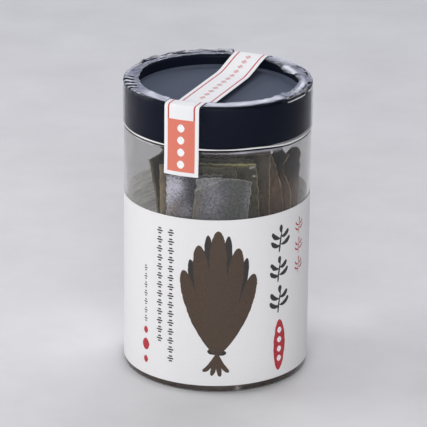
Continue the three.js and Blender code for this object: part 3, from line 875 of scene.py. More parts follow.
def film_surface(size, strip_turn, strip_half):
    """Shrink film: a profile carried round the axis as a closed thin sheet, lifted along
    its own normal by crinkles, and pressed flat under the seal strip."""
    angle = np.linspace(-np.pi, np.pi, FILM_COLUMNS, endpoint=False)[None, :]
    radius, height = film_sheet(size, angle, strip_turn, strip_half)
    at = film_places(size, angle, radius, height)
    side = np.abs(radius * np.sin(angle + strip_turn))
    pressed = smooth(side, strip_half + 1.2, strip_half + 0.2)
    lift = film_lift(at) * (1 - pressed) - STRIP_PRESS * pressed
    step_r, step_z = np.gradient(radius, axis=0), np.gradient(height, axis=0)
    step = np.hypot(step_r, step_z)
    outer, inner = (on_cylinder(radius - step_z / step * (lift + offset), angle,
                                height + step_r / step * (lift + offset))
                    for offset in (0, -size.thickness))
    grid = np.concatenate([outer[::-1], inner])
    cells = grid_cells(*grid.shape[:2], wrap_rows=True, wrap_columns=True)
    milk_and_glint, depth = film_milk_glints_and_shade(at, pressed)
    kind = film_kinds(at, height < size.top - size.edge_radius)
    kind, milk_and_glint, depth = (np.concatenate([value[::-1], value]).ravel()
                         for value in (kind, milk_and_glint, depth))
    return grid.reshape(-1, 3), cells, kind[cells[:, 0]], {"milk_and_glint": milk_and_glint, "depth": depth}


HEM_COLUMNS = 360
HEM_SIDES = 10
# Half the thickness of each roll, how far in from the film and how far above its lower
# hem its middle lies, and the seed of its waves.
# The second roll is the black ring that paints the shadow under the bead.
HEM_ROLLS = [(0.36, 0.1, 0.2, 41), (0.3, 0.3, -0.62, 43)]


def hem_surface(size):
    """The film's lower hem, drawn tight into a pale bead, and under it a thin ring of black
    plastic that paints the shadow in the gap between the hem and the jar's shoulder: two
    rings of round section about Z, thinner in front, whose thickness and height waver by
    slow waves. Its last field says which cells are the painted shadow."""
    angle = np.linspace(-np.pi, np.pi, HEM_COLUMNS, endpoint=False)[None, :]
    degrees = np.degrees(angle)
    turn = np.linspace(0, 2 * np.pi, HEM_SIDES, endpoint=False)[:, None]
    rings = []
    for half, inset, rise, seed in HEM_ROLLS:
        section = half * (1 + 0.15 * waves(degrees, 0, 25, seed) - 0.3 * bump(degrees, 3, 11))
        radius = size.radius - inset + section * np.cos(turn)
        height = size.hem + rise + 0.06 * waves(degrees, 0, 70, 42) - hem_drop(degrees)
        rings.append((on_cylinder(radius, angle, height + section * np.sin(turn)).reshape(-1, 3),
                      grid_cells(HEM_SIDES, HEM_COLUMNS, wrap_rows=True, wrap_columns=True)))
    points, cells = join(rings)
    return points, cells, np.arange(len(cells)) >= len(cells) // 2


# ---------------------------------------------------------------------------- label
LABEL_TILT = 0.006                  # the label was stuck on slightly askew
LABEL_COLUMNS = 361
LABEL_ROWS = 33
SEAM_LIFT = 0.16                    # how far the label's end stands off over its start


def label_surface(size):
    """The label: a sheet wound once round the jar about Z from its seam at the back,
    with its end lifted over its start, and its height tilted in proportion to x. Its
    last field says which cells are the gummed back."""
    lap = size.overlap / size.radius / 2
    angle = np.linspace(-np.pi - lap, np.pi + lap, LABEL_COLUMNS)[None, :]
    height = np.linspace(size.bottom, size.top, LABEL_ROWS)[:, None]
    outside = size.radius + SEAM_LIFT * smooth(angle, np.pi - 2.2 * lap, np.pi - lap)
    points, cells = slab(*(
        on_cylinder(radius, angle, height + LABEL_TILT * radius * np.sin(angle))
        for radius in (outside, outside - size.thickness)))
    face = (LABEL_ROWS - 1) * (LABEL_COLUMNS - 1)
    number = np.arange(len(cells))
    return points, cells, (number >= face) & (number < 2 * face)


# The print on the label is laid out flat, across from the middle of the front and up
# from the ground, and every mark in it is one brush stroke: a line through a few points,
# with a width that changes along it.
STROKE_STEP = 0.9                   # length of a cell along and across a stroke
INK_HEIGHT = 0.03                   # how far ink stands above the paper
INK_STEP = 0.002                    # how much higher each next stroke lies, up to eight
INK_THICKNESS = 0.02


def stroke(path, width, taper=0.3, belly=0.5, rough=0.0, seed=0):
    """A flat brush stroke along the smooth line through the points of path. With t along
    it from -1 to 1, bent so that 0 falls on belly, its width is the given one times the
    root of 1 less the size of t to the power of 1 over taper. rough makes each of its
    edges uneven by short waves."""
    path = np.asarray(path, float)
    spans = np.hypot(*np.diff(path, axis=0).T)
    total = spans.sum()
    knots = np.concatenate([[0], np.cumsum(spans)]) / total
    count = max(7, int(total / STROKE_STEP) + 3)
    along = (1 - np.cos(np.linspace(0, np.pi, count))) / 2
    degree = min(len(path) - 1, 3)
    x, y = (np.polyval(np.polyfit(knots, path[:, k], degree), along) for k in (0, 1))
    dx, dy = np.gradient(x, along), np.gradient(y, along)
    speed = np.hypot(dx, dy)
    bent = 2 * along ** (math.log(0.5) / math.log(belly)) - 1
    half = width / 2 * np.sqrt(np.clip(1 - np.abs(bent) ** (1 / taper), 1e-4, 1))
    across = np.linspace(1, -1, max(3, int(width / STROKE_STEP) + 2))[:, None]
    edges = [half * (1 + rough * waves(along * total + 50 * k, 0 * along, 1.6, seed + k, 6))
             for k in (0, 1)]
    reach = np.where(across > 0, edges[0], edges[1]) * across
    return np.stack([x - dy / speed * reach, y + dx / speed * reach], -1)


def on_label(size, flat, lift):
    """Places a flat grid of millimetres on the label, this far above the paper."""
    angle = flat[..., 0] / size.radius
    radius = size.radius + lift
    return on_cylinder(radius, angle, flat[..., 1] + LABEL_TILT * radius * np.sin(angle))


def printed(place, size, strokes):
    """Strokes as one mesh of thin closed fields of ink, each a little above the one
    before it in every eight, put on the paper by the function place."""
    parts = []
    for k, flat in enumerate(strokes):
        top = INK_HEIGHT + INK_STEP * (k % 8)
        parts.append(slab(*(place(size, flat[::-1], height)
                            for height in (top, top - INK_THICKNESS))))
    return join(parts)


def dash(x, y, reach, width=0.5, rise=0.0):
    """A short straight stroke with round ends."""
    return stroke([[x - reach, y - rise], [x, y], [x + reach, y + rise]], width, taper=0.12)


def dash_column(x, top, bottom, pitch, reach, width, seed):
    """A column of small figures at an even pitch, each of a short, a long and a short
    dash one above the other: a plain printed border that says nothing."""
    draw = np.random.default_rng(seed)
    marks = []
    for y in np.arange(top, bottom, -pitch):
        for level, share in ((0.27, 0.55), (0.0, 1.0), (-0.27, 0.55)):
            jitter = draw.uniform(-0.06, 0.06) * reach
            marks.append(dash(x + jitter, y + level * pitch, reach * share, width))
    return marks


def sprig(x, y, tall, width, seed):
    """A brushed sprig: a stem that leans a little, with two pairs of leaves and one at
    the tip, each a stroke that is widest near its end."""
    lean = 0.06 * tall
    marks = [stroke([[x - lean, y - tall / 2], [x, y], [x + lean, y + 0.3 * tall]],
                    0.42 * width, 0.3, 0.4, 0.12, seed)]
    leaves = [(-0.24, -1, 0.42, 0.20), (-0.20, 1, 0.44, 0.24), (0.04, -1, 0.38, 0.26),
              (0.10, 1, 0.36, 0.22), (0.24, 0.12, 0.05, 0.30)]
    for k, (base, way, out, up) in enumerate(leaves):
        start = np.array([x + 0.1 * lean * way, y + base * tall])
        tip = start + [way * out * tall, up * tall]
        bend = (start + tip) / 2 + [0.06 * tall * way, -0.07 * tall]
        marks.append(stroke([start, bend, tip], width, 0.45, 0.6, 0.12, seed + 3 + k))
    return marks


def black_marks():
    """Three bold brushed sprigs in a column on the right, and columns of dashes on the
    left."""
    marks = []
    for k, (x, y, tall) in enumerate([(31.6, 70.8, 12.6), (31.0, 56.2, 12.0), (31.4, 41.6, 12.8)]):
        marks += sprig(x, y, tall, 2.1, 20 + 10 * k)
    marks += dash_column(-21.3, 75.8, 11.0, 4.35, 1.65, 0.7, 51)
    marks += dash_column(-27.2, 75.8, 20.0, 4.35, 1.65, 0.7, 52)
    return marks + dash_column(-35.7, 55.6, 31.0, 4.1, 1.05, 0.55, 53)


SHEAF_TIE = np.array([0.6, 20.0])


def sheaf_blades(plan, seed):
    """Blades that open upwards from the sheaf's tie, each given by how far it leans,
    its height, its width and how far its middle bows out."""
    blades = []
    for k, (lean, tall, width, bow) in enumerate(plan):
        middle = SHEAF_TIE + [lean * 0.5 + bow, tall * 0.5]
        blades.append(stroke([SHEAF_TIE + [lean * 0.08, -1.0], middle, SHEAF_TIE + [lean, tall]],
                             width, 0.42, 0.66, 0.035, seed + 3 * k))
    return blades


def brown_sheaf():
    """The front of a large plain design, a tied sheaf: five rounded blades, the short
    ends of their stalks below the tie, and the tie."""
    marks = sheaf_blades([(-15.6, 39, 6.6, -2.6), (-8.6, 51.5, 7.4, -1.4), (0.2, 58.5, 8.0, 0),
                          (9.4, 50, 7.4, 1.6), (16.8, 37, 6.6, 2.8)], 60)
    for k, lean in enumerate([-6.4, -2.4, 1.6, 5.6]):
        foot = SHEAF_TIE + [lean, -12.6 + 0.5 * abs(lean)]
        marks.append(stroke([SHEAF_TIE, SHEAF_TIE + [lean * 0.4, -6], foot], 2.3, 0.3, 0.6,
                            0.08, 90 + 3 * k))
    return marks


def dark_sheaf():
    """The blue-black back blades of the sheaf and its tie."""
    marks = sheaf_blades([(-12.4, 44.5, 4.6, -2.0), (-4.4, 56.5, 4.8, -0.6),
                          (4.9, 56, 4.8, 0.6), (13.4, 45, 4.4, 2.0)], 120)
    marks.append(stroke([SHEAF_TIE + [-4.3, 0.7], SHEAF_TIE, SHEAF_TIE + [4.3, -0.3]],
                        2.6, 0.2, 0.5, 0.08, 140))
    return marks


def red_marks():
    """Red print: a long lozenge on the right, three thin sprigs above it and a column of
    small lozenges on the left."""
    marks = [stroke([[31.6, 31.8], [31.9, 19.5], [31.4, 7.0]], 7.0, 0.6, 0.5, 0.05, 150)]
    for k, y in enumerate((73.6, 64.0, 54.6)):
        marks += sprig(45.2, y, 7.6, 0.75, 160 + 10 * k)
    for y, width in ((25.4, 2.8), (18.4, 4.6), (11.0, 2.8)):
        marks.append(stroke([[-35.7, y + 0.62 * width], [-35.7, y], [-35.7, y - 0.62 * width]],
                            width, 0.75, 0.5, 0.05, 190))
    return marks


def white_marks():
    """Small white lozenges left open in the long red one."""
    return [stroke([[31.75, y + 1.5], [31.75, y], [31.75, y - 1.5]], 2.7, 0.75)
            for y in (26.6, 22.0, 17.4, 12.8)]


# ----------------------------------------------------------------------- seal strip
STRIP_TURN = math.radians(22.2)     # from +Y towards +X
STRIP_OFFSET = 0.05
DIP_SKEW = 0.1                      # it leaves the rim later on the right
KINK = 17.0                         # where it starts to rise to the back rim
KINK_SKEW = 0.18                    # the kink runs askew across the strip
CREST = 39.5                        # where the rise ends
CREST_SKEW = 0.29
TAIL_FLARE = 0.35                   # how far the ends of the tails stand out
STRIP_SIDES = 25


def eased(count, softness):
    """Shares up to 1 in even steps, and the same shares drawn towards a smooth step by
    this softness."""
    share = np.linspace(0, 1, count + 1)[1:]
    return share, (1 - softness) * share + softness * smooth(share, 0, 1)


def strip_paths(size):
    """The strip's path at STRIP_SIDES places across it, as distance along and height:
    up the front tail, round a corner, in over the rim, down a slope with soft ends to
    its sag, level to a slanting kink, and up a slope that ends in a soft crest to the
    back rim and tail. Rim and slope are longer towards the right."""
    paths = []
    for side in np.linspace(-size.width / 2, size.width / 2, STRIP_SIDES):
        reach = math.sqrt(size.tail_radius ** 2 - side ** 2)
        turn_at = size.top - size.corner
        tail = np.stack([np.zeros(22), np.linspace(size.tail_end, turn_at, 23)[:-1]], -1)
        tail[:, 0] -= TAIL_FLARE * bump(tail[:, 1], size.tail_end, 6)
        corner = arc(size.corner, turn_at, size.corner, 180, 90, 8)
        leaves = size.rim_width + DIP_SKEW * side
        rim = np.stack([np.linspace(size.corner + 0.6, leaves, 6), np.full(6, size.top)], -1)
        share, ease = eased(14, 0.4)
        dip = np.stack([leaves + (size.dip_length + DIP_SKEW * side) * share,
                        size.top - (size.top - size.sag) * ease], -1)
        front = np.concatenate([tail, corner, rim, dip]) - [reach, 0]
        kink, crest = KINK - KINK_SKEW * side, CREST - CREST_SKEW * side
        level = np.stack([np.linspace(front[-1, 0], kink, 26)[1:], np.full(25, size.sag)], -1)
        share, ease = eased(20, 0.5)
        rise = np.stack([kink + (min(crest, reach - size.corner - 0.4) - kink) * share,
                         size.sag + (size.top - size.sag) * ease], -1)
        back = np.concatenate([tail, corner])[::-1] * [-1, 1] + [reach, 0]
        paths.append(np.concatenate([front, level, rise, back]))
    return np.asarray(paths)


def strip_lengths(paths):
    """Distance along the strip's middle path, from the front tail's end."""
    steps = np.diff(paths[STRIP_SIDES // 2], axis=0)
    return np.concatenate([[0], np.cumsum(np.hypot(*steps.T))])


def strip_points(size, paths, side, row, lift):
    """Points of the strip at a place across it and a row along its paths, this far above
    its middle surface: the paths are blended between the two nearest, and lifted along
    their normal."""
    across = (side / size.width + 0.5) * (STRIP_SIDES - 1)
    k = np.clip(across.astype(int), 0, STRIP_SIDES - 2)
    i = np.clip(row.astype(int), 0, paths.shape[1] - 2)
    a, b = (across - k)[..., None], (row - i)[..., None]
    here, step = ((1 - a) * ((1 - b) * grid[k, i] + b * grid[k, i + 1])
                  + a * ((1 - b) * grid[k + 1, i] + b * grid[k + 1, i + 1])
                  for grid in (paths, np.gradient(paths, axis=1)))
    step = step / np.hypot(step[..., 0], step[..., 1])[..., None]
    along = here[..., 0] - step[..., 1] * lift
    height = here[..., 1] + step[..., 0] * lift
    out = side + STRIP_OFFSET
    return np.stack([math.sin(STRIP_TURN) * along + math.cos(STRIP_TURN) * out,
                     math.cos(STRIP_TURN) * along - math.sin(STRIP_TURN) * out, height], -1)


def strip_surface(size, paths):
    """The strip as a thin closed sheet, with its map across and along."""
    side = np.linspace(-size.width / 2, size.width / 2, STRIP_SIDES)[:, None]
    row = np.arange(paths.shape[1], dtype=float)[None, :]
    side, row = np.broadcast_arrays(side, row)
    half = size.thickness / 2
    front = strip_points(size, paths, side, row, half)
    back = strip_points(size, paths, side, row, -half)
    points, cells = slab(front[::-1], back[::-1])
    along = strip_lengths(paths)[row.astype(int)]
    flat = np.stack([side, along], -1)[::-1].reshape(-1, 2)
    return points, cells, np.concatenate([flat, flat])


def on_strip(size, flat, lift):
    """Places a flat grid of millimetres, across and along, on the strip."""
    paths = strip_paths(size)
    lengths = strip_lengths(paths)
    row = np.interp(flat[..., 1], lengths, np.arange(len(lengths), dtype=float))
    return strip_points(size, paths, flat[..., 0], row, size.thickness / 2 + lift)


def strip_lozenges(path_length):
    """White lozenges left open in the coral field, four on each tail."""
    marks = []
    for k in range(4):
        at = CORAL_MARGIN + 3.4 + 5.6 * k
        for y in (at, path_length - at):
            marks.append(stroke([[0, y - 1.9], [0, y], [0, y + 1.9]], 3.6, 0.75))
    return marks


def strip_figures():
    """Small red figures at an even pitch along the strip, each of a short, a long and a
    short dash side by side."""
    return [dash(0.2, 56.5 + 5.0 * k + level, reach, 0.55) for k in range(12)
            for level, reach in ((-1.15, 0.8), (0.0, 1.5), (1.15, 0.8))]


# ------------------------------------------------------------------------ kelp sheets
KELP_RIPPLES = 1.5                  # waves along the height of a sheet
KELP_PHASE = 1.7                    # radians by which each next sheet's waves are shifted
KELP_COLUMNS = 40
LOW_SHARE = 0.78                    # share of a sheet's height that the label hides
LOW_ROWS = 30
HIGH_ROWS = 53
# The pale band along each edge is partly the cut's own colour and partly a painted highlight.
KELP_RIM = 0.45                     # width of the paler band along a cut edge
MAP_PITCH = 60                      # each sheet has its own part of the kelp's pattern


def upper_part(v, start):
    """How far v has come from start to 1, as a share; nothing below start."""
    return np.maximum(0, (v - start) / (1 - start))


# Each sheet stands on the jar's floor, as in the frame. head and foot are the plan places
# of the middle of its top and bottom edges, turn the direction of its width from +X in
# degrees, top the height of its top edge, bow how far its middle stands out towards -Y
# and ripple the size of its waves. ease above 1 bends the upper part out. trim shapes
# the top edge, side moves the right edge, and crease folds the upper left corner: the
# height where the fold leaves the left edge, the u where it meets the top and how far
# the corner bends back. kind is its finish. edges says how pale its left, right and top
# edges are. patches are soft patches of a layer of the finish: the layer, u, height,
# reach in u, reach in height and strength.
# The pale edges of the sheets are in part painted highlights where the thin edges catch the light.
KELP_SHEETS = [
    dict(kind="kelp_bloomed", head=(3.1, -35.4), foot=(-6.6, -33), width=24.4, turn=0,
         top=101.5, bow=0.8, ripple=0.3, trim=lambda u: -1.8 * u * u,
         crease=(95.4, 0.1, 0.5), edges=(0.4, 0.8, 0.9),
         patches=[("bloom", -0.35, 91, 0.42, 11, 0.3), ("bloom", -0.7, 99, 0.35, 3, 0.15),
                  ("green", 0.5, 92, 0.4, 14, 0.6), ("dark", 0.4, 90, 0.3, 14, 0.85),
                  ("bloom", 0.9, 92, 0.1, 8, 0.2), ("green", -0.88, 90, 0.14, 9, 0.8),
                  ("green", -0.6, 99.5, 0.4, 3.5, 0.9), ("dark", 0.0, 97, 0.16, 4, 0.7),
                  ("dark", 0.98, 90, 0.1, 9, 0.8), ("warm", -0.95, 86, 0.2, 8, 0.6)]),
    dict(kind="kelp_bloomed", head=(-10.1, -30.2), foot=(-9.5, -28.4), width=24.9, turn=3,
         top=101, bow=0.6, ripple=0.4, edges=(0.7, 0.4, 0.6),
         patches=[("bloom", -0.72, 96, 0.3, 6, 1.5), ("bloom", -0.95, 90, 0.16, 8, 0.7),
                  ("bloom", -0.3, 84, 0.4, 4, 0.35), ("dark", -0.15, 93, 0.3, 8, 1.5),
                  ("warm", -0.82, 84.5, 0.3, 5, 0.9)]),
    dict(kind="kelp_olive", head=(-8.6, -24.6), foot=(-8, -22.8), width=34, turn=1,
         top=103.2, bow=0.4, ripple=0.5, trim=lambda u: -0.8 * u, edges=(0.5, 0.5, 0.4),
         patches=[("warm", -0.96, 92, 0.2, 20, 1.3), ("bloom", -0.95, 84, 0.2, 8, 0.2)]),
    dict(kind="kelp_olive", head=(3.6, -19), foot=(11.5, -16.2), width=27.4, turn=1,
         top=102.7, bow=0.5, ripple=0.5, edges=(0.4, 0.9, 1.5),
         patches=[("green", 0.45, 103.6, 0.6, 1.3, 5.0), ("dark", 0.55, 97.5, 0.35, 3, 0.7),
                  # The three small strong bloom spots near the top right are painted glints.
                  ("bloom", 0.9, 101, 0.04, 0.5, 3), ("bloom", 0.82, 100.6, 0.03, 0.4, 3),
                  ("bloom", 0.9, 96.6, 0.04, 0.4, 2.5), ("green", -0.2, 99, 0.3, 1.5, 0.4)]),
    dict(kind="kelp_olive", head=(1.5, -9.4), foot=(2.5, -8.6), width=29, turn=0,
         top=102.5, bow=0.6, ripple=0.5, trim=lambda u: 0.4 * np.sin(4 * u),
         edges=(0.3, 0.3, 0.3), patches=[("bloom", 0.5, 100.5, 0.6, 1.5, 0.25),
                                         ("dark", -0.3, 98.5, 0.5, 1.5, 0.8)]),
    dict(kind="kelp_brown", head=(8.9, -3.9), foot=(9.6, -3.4), width=29.8, turn=2,
         top=102, bow=0.5, ripple=0.4, trim=lambda u: 0.8 * u, edges=(0.3, 1.0, 0.3),
         patches=[("green", 0.65, 96, 0.2, 6, 0.6), ("dark", 0.3, 97, 0.25, 9, 0.9),
                  ("warm", 0.8, 80, 0.4, 10, 0.5),
                  ("bloom", 0.85, 96, 0.2, 8, 0.2)]),
    # Sheet 07: the reddish warm patch on its right is a painted glow of light shining through the
    # thin kelp.
    dict(kind="kelp_brown", head=(15.6, 1.2), foot=(14.8, 1.2), width=30, turn=5, top=101,
         bow=0.5, ripple=0.5, side=lambda v: -6.5 * upper_part(v, 0.74) ** 1.6,
         edges=(0.3, 1.0, 0.3), patches=[("warm", 0.7, 83, 0.5, 13, 1.0),
                                         ("bloom", 0.7, 97, 0.3, 3, 0.3)]),
    dict(kind="kelp_brown", head=(18.5, 5.6), foot=(17.6, 5.4), width=31.8, turn=1,
         top=100.8, bow=-0.6, ripple=0.5,
         trim=lambda u: -1.4 + 3.1 * smooth(u, 0.42, 0.56) * smooth(u, 0.92, 0.72),
         side=lambda v: -4.4 * bump(v, 0.925, 0.075), edges=(0.3, 1.3, 0.2),
         patches=[("dark", 0.7, 96, 0.6, 8, 1.2), ("bloom", 0.7, 88, 0.6, 12, -0.1),
                  ("warm", 0.8, 77, 0.4, 9, 0.9)]),
    dict(kind="kelp_brown", head=(34.4, 9.7), foot=(33.6, 9.6), width=7, turn=18,
         top=102.4, bow=0.3, ripple=0.3, trim=lambda u: -3.6 * u * u, edges=(0.2, 0.3, 0.1),
         patches=[("dark", 0, 95, 2, 9, 1.6), ("bloom", 0, 95, 2, 9, -0.12),
                  ("warm", 0.3, 75, 1.5, 9, 1.1)]),
    dict(kind="kelp_olive", head=(-26.1, -4.5), foot=(-16.1, -2.8), width=24, turn=68,
         top=103, bow=0.8, ripple=0.4, ease=1.9, edges=(0.05, 0.3, 0.05),
         patches=[("dark", 0.2, 98, 0.8, 6, 0.7), ("warm", -0.8, 84, 0.8, 9, 1.0)]),
    dict(kind="kelp_olive", head=(6, 12), foot=(7, 12), width=34, turn=2, top=101, bow=0.5,
         ripple=0.5, edges=(0.6, 0.6, 0.5), patches=[("bloom", 0.3, 95, 0.5, 9, 0.4)]),
    dict(kind="kelp_brown", head=(-3.5, 17), foot=(-2, 17), width=34, turn=-2, top=100,
         bow=0.6, ripple=0.5, trim=lambda u: 0.6 * np.sin(5 * u), edges=(0.8, 0.8, 0.4),
         patches=[("warm", -0.8, 90, 0.4, 9, 0.8)]),
    dict(kind="kelp_olive", head=(7.5, 22), foot=(6, 22), width=34, turn=1, top=102.6,
         bow=0.4, ripple=0.5, edges=(0.5, 0.7, 0.7), patches=[("warm", 0.9, 92, 0.2, 9, 0.8)]),
    dict(kind="kelp_bloomed", head=(-4, 26.6), foot=(-2, 26.4), width=36, turn=-1,
         top=100.4, bow=0.5, ripple=0.4, trim=lambda u: -0.8 * u, edges=(0.7, 0.7, 0.6),
         patches=[("bloom", -0.7, 95, 0.4, 9, 0.8)]),
    dict(kind="kelp_olive", head=(5, 31.4), foot=(3, 31), width=30, turn=1, top=98.6,
         bow=-0.6, ripple=0.4, edges=(0.5, 0.6, 0.7), patches=[("bloom", 0.6, 93, 0.4, 7, 0.6)]),
    dict(kind="kelp_bloomed", head=(-4, 35.6), foot=(-3, 35), width=23, turn=-1, top=97,
         bow=-1.2, ripple=0.3, trim=lambda u: 0.5 * np.sin(6 * u), edges=(0.6, 0.6, 0.8),
         patches=[("bloom", -0.3, 90, 0.5, 9, 0.8), ("warm", 0.8, 88, 0.3, 8, 0.4)]),
    dict(kind="kelp_olive", head=(-25.2, 14.2), foot=(-23.6, 14.6), width=17, turn=84,
         top=99.5, bow=0.9, ripple=0.4, ease=1.4, edges=(0.5, 0.5, 0.5),
         patches=[("bloom", 0.0, 93, 0.6, 6, 0.4)]),
    dict(kind="kelp_brown", head=(31.6, 20.4), foot=(30.2, 19.6), width=11, turn=113,
         top=93, bow=-0.5, ripple=0.3, ease=1.2, edges=(0.5, 0.5, 0.5),
         patches=[("warm", 0.2, 87, 0.8, 6, 0.8)]),
]


def kelp_fields(sheet, u, height, fold):
    """How much of each layer of its finish a sheet shows, for the points of both faces:
    its patches, and pale edges, in part painted highlights, and a pale crease. fold is the
    distance past the crease."""
    fields = {kind: 0 * u for kind in ("bloom", "warm", "green", "dark")}
    for kind, at_u, at_z, reach_u, reach_z, strength in sheet["patches"]:
        patch = strength * bump(u, at_u, reach_u) * bump(height, at_z, reach_z)
        fields[kind] = fields[kind] + patch
    edge = np.zeros(u.shape)
    edge[:, 0], edge[:, -1], edge[-1] = sheet["edges"]
    if "crease" in sheet:
        edge = np.maximum(edge, 0.8 * bump(fold, 0, 0.35))
        fields["bloom"] = fields["bloom"] + 0.12 * smooth(fold, 0, 0.4)
    fields["edge"] = edge
    return {key: np.concatenate([value.ravel()] * 2) for key, value in fields.items()}


def kelp_surface(size, sheet, number):
    """One sheet at u from -1 to 1 across and v from 0 to 1 up. Its plan place goes from
    foot to head with v to the power of ease; its depth is a bow of 1 minus u squared,
    plus ripples, sine waves up the sheet that grow with v, plus fine lengthwise wrinkles.
    The edges are frayed by short waves, a corner beyond its crease is bent, and rows and
    columns close to the edges hold the paler cut band. Rows lie closer together above the
    label."""
    half = sheet["width"] / 2
    tall = sheet["top"] - size.floor
    rim_u, rim_v = KELP_RIM / half, KELP_RIM / tall
    u = np.concatenate([[-1], np.linspace(-1 + rim_u, 1 - rim_u, KELP_COLUMNS - 2), [1]])
    v = np.concatenate([[0], np.linspace(rim_v, LOW_SHARE, LOW_ROWS)[:-1],
                        np.linspace(LOW_SHARE, 1 - rim_v, HIGH_ROWS), [1]])
    u, v = np.broadcast_arrays(u[None, :], v[:, None])
    turn = math.radians(sheet["turn"])
    trim = sheet["trim"](u) if "trim" in sheet else 0
    side = np.maximum(0, u) * sheet["side"](v) if "side" in sheet else 0
    share = v ** sheet.get("ease", 1)
    across = u * half
    height = size.floor + v * (sheet["top"] + trim - size.floor)
    height = height + v ** 8 * size.fray * waves(across, 0 * u, 3.1, 200 + number)
    across = across + side + np.abs(u) ** 12 * size.fray * waves(height, 9 * u, 4.0, 230 + number)
    phase = KELP_PHASE * number
    ripple = sheet["ripple"] * np.sin(2 * np.pi * KELP_RIPPLES * v + phase + u)
    wrinkle = size.wrinkle * (waves(across, height * 0.16, 2.6, 260 + number)
                              + 0.6 * waves(across, height * 0.4, 1.3, 290 + number))
    middle = ripple * v - sheet["bow"] * (1 - u * u) + wrinkle
    fold = 0 * u
    if "crease" in sheet:
        left, right, bend = sheet["crease"]
        line = left + (sheet["top"] - left) * (u + 1) / (right + 1)
        fold = height - line
        middle = middle + bend * np.maximum(0, fold) - 0.25 * bump(fold, 0, 0.7)
    x, y = (foot + (head - foot) * share for foot, head in zip(sheet["foot"], sheet["head"]))
    faces = []
    for offset in (-size.thickness / 2, size.thickness / 2):
        depth = middle + offset
        faces.append(np.stack([x + across * math.cos(turn) - depth * math.sin(turn),
                               y + across * math.sin(turn) + depth * math.cos(turn),
                               height], -1))
    points, cells = slab(*faces)
    flat = np.stack([across + MAP_PITCH * number, height], -1).reshape(-1, 2)
    return points, cells, kelp_fields(sheet, u, height, fold), np.concatenate([flat, flat])


FLAKES = 420
FLAKE_THICKNESS = 0.22
FLAKE_DROP = 2.0                    # how far their floor lies below the sheets' feet
FLAKE_RADIUS = 39                   # radius at which their pattern is laid out
CRUMB_COLUMNS = 300
CRUMB_TOP_ROWS = 5                  # the last rows of the ring's section, made lumpy


def kelp_flakes(base):
    """Broken bits of kelp on the jar's floor near its wall: small curled squares, each a
    grid of three by three points bent up at its corners and turned at random, on a ring
    of packed crumbs that fills the foot up to the wall, with a top made lumpy by short
    waves. base is the height of the floor."""
    draw = np.random.default_rng(7)
    u, v = np.meshgrid(np.linspace(-1, 1, 3), np.linspace(-1, 1, 3))
    parts = []
    for _ in range(FLAKES):
        angle, radius = draw.uniform(-np.pi, np.pi), draw.uniform(34.5, 39.4)
        long, wide = draw.uniform(0.7, 1.9), draw.uniform(0.4, 1.1)
        spin, curl = draw.uniform(0, np.pi), draw.uniform(0.05, 0.3)
        lean = draw.uniform(-0.4, 0.4)
        x, y = u * long, v * wide
        z = base + draw.uniform(0.3, 1.6) + curl * (u * u + v * v) + lean * x
        faces = []
        for offset in (FLAKE_THICKNESS, 0.0):
            faces.append(np.stack([
                radius * math.sin(angle) + x * math.cos(spin) - y * math.sin(spin),
                -radius * math.cos(angle) + x * math.sin(spin) + y * math.cos(spin),
                z + offset], -1))
        parts.append(slab(*faces))
    section = np.concatenate([
        [[32.0, base - 0.9], [35.0, base - 0.9], [38.0, base - 0.9]],
        arc(40.85, base + 0.1, 1.0, -90, 0, 6), [[41.5, base + 1.5], [41.25, base + 2.4]],
        [[40.6, base + 3.0], [38.6, base + 2.9], [36.0, base + 2.4], [33.0, base + 1.4]]])
    angle = np.linspace(-np.pi, np.pi, CRUMB_COLUMNS, endpoint=False)[None, :]
    step = np.arange(len(section))[:, None]
    lumps = np.clip(waves(angle * 38, 3 * step, 3.4, 61, 12), -1, 1) - 1
    radius = section[:, :1] + 0.05 * lumps
    height = section[:, 1:] + 0.3 * lumps * (step >= len(section) - CRUMB_TOP_ROWS)
    parts.append((on_cylinder(radius, angle, height).reshape(-1, 3),
                  grid_cells(len(section), CRUMB_COLUMNS, wrap_rows=True, wrap_columns=True)))
    return join(parts)


# ------------------------------------------------------------------------ operators
class KELPJAR_OT_jar(bpy.types.Operator):
    """Builds the clear jar"""
    bl_idname = "kelpjar.jar"
    bl_label = "Clear jar"

    def execute(self, context):
        settings = context.scene.kelp_jar
        size = in_mm(settings.jar)
        points, cells = jar_surface(size)
        # The line painted round the shoulder of the clear wall is mostly a painted highlight.
        piece("clear_jar", points, cells, [material("clear_pet", clear_pet, settings.finish)],
              "clear_plastic", ["jar"], sharp=60, fields={"milk_and_glint": shoulder_milk_and_highlight(size, points)})
        return {"FINISHED"}


class KELPJAR_OT_cap(bpy.types.Operator):
    """Builds the black screw cap"""
    bl_idname = "kelpjar.cap"
    bl_label = "Cap"

    def execute(self, context):
        settings = context.scene.kelp_jar
        finish = settings.finish
        points, cells, sunk = cap_surface(in_mm(settings.cap))
        satin = material("black_polypropylene", black_polypropylene, finish.black, 0.3, 0.4)
        # The matt recess floor takes a light grey that paints the sheen of the sky on it.
        matt = material("matt_polypropylene_painted_sheen", black_polypropylene, finish.recess, 0.5, 0.6)
        piece("screw_cap", points, cells, [satin, matt], "black_plastic", ["cap"], sharp=35,
              painted=sunk)
        return {"FINISHED"}


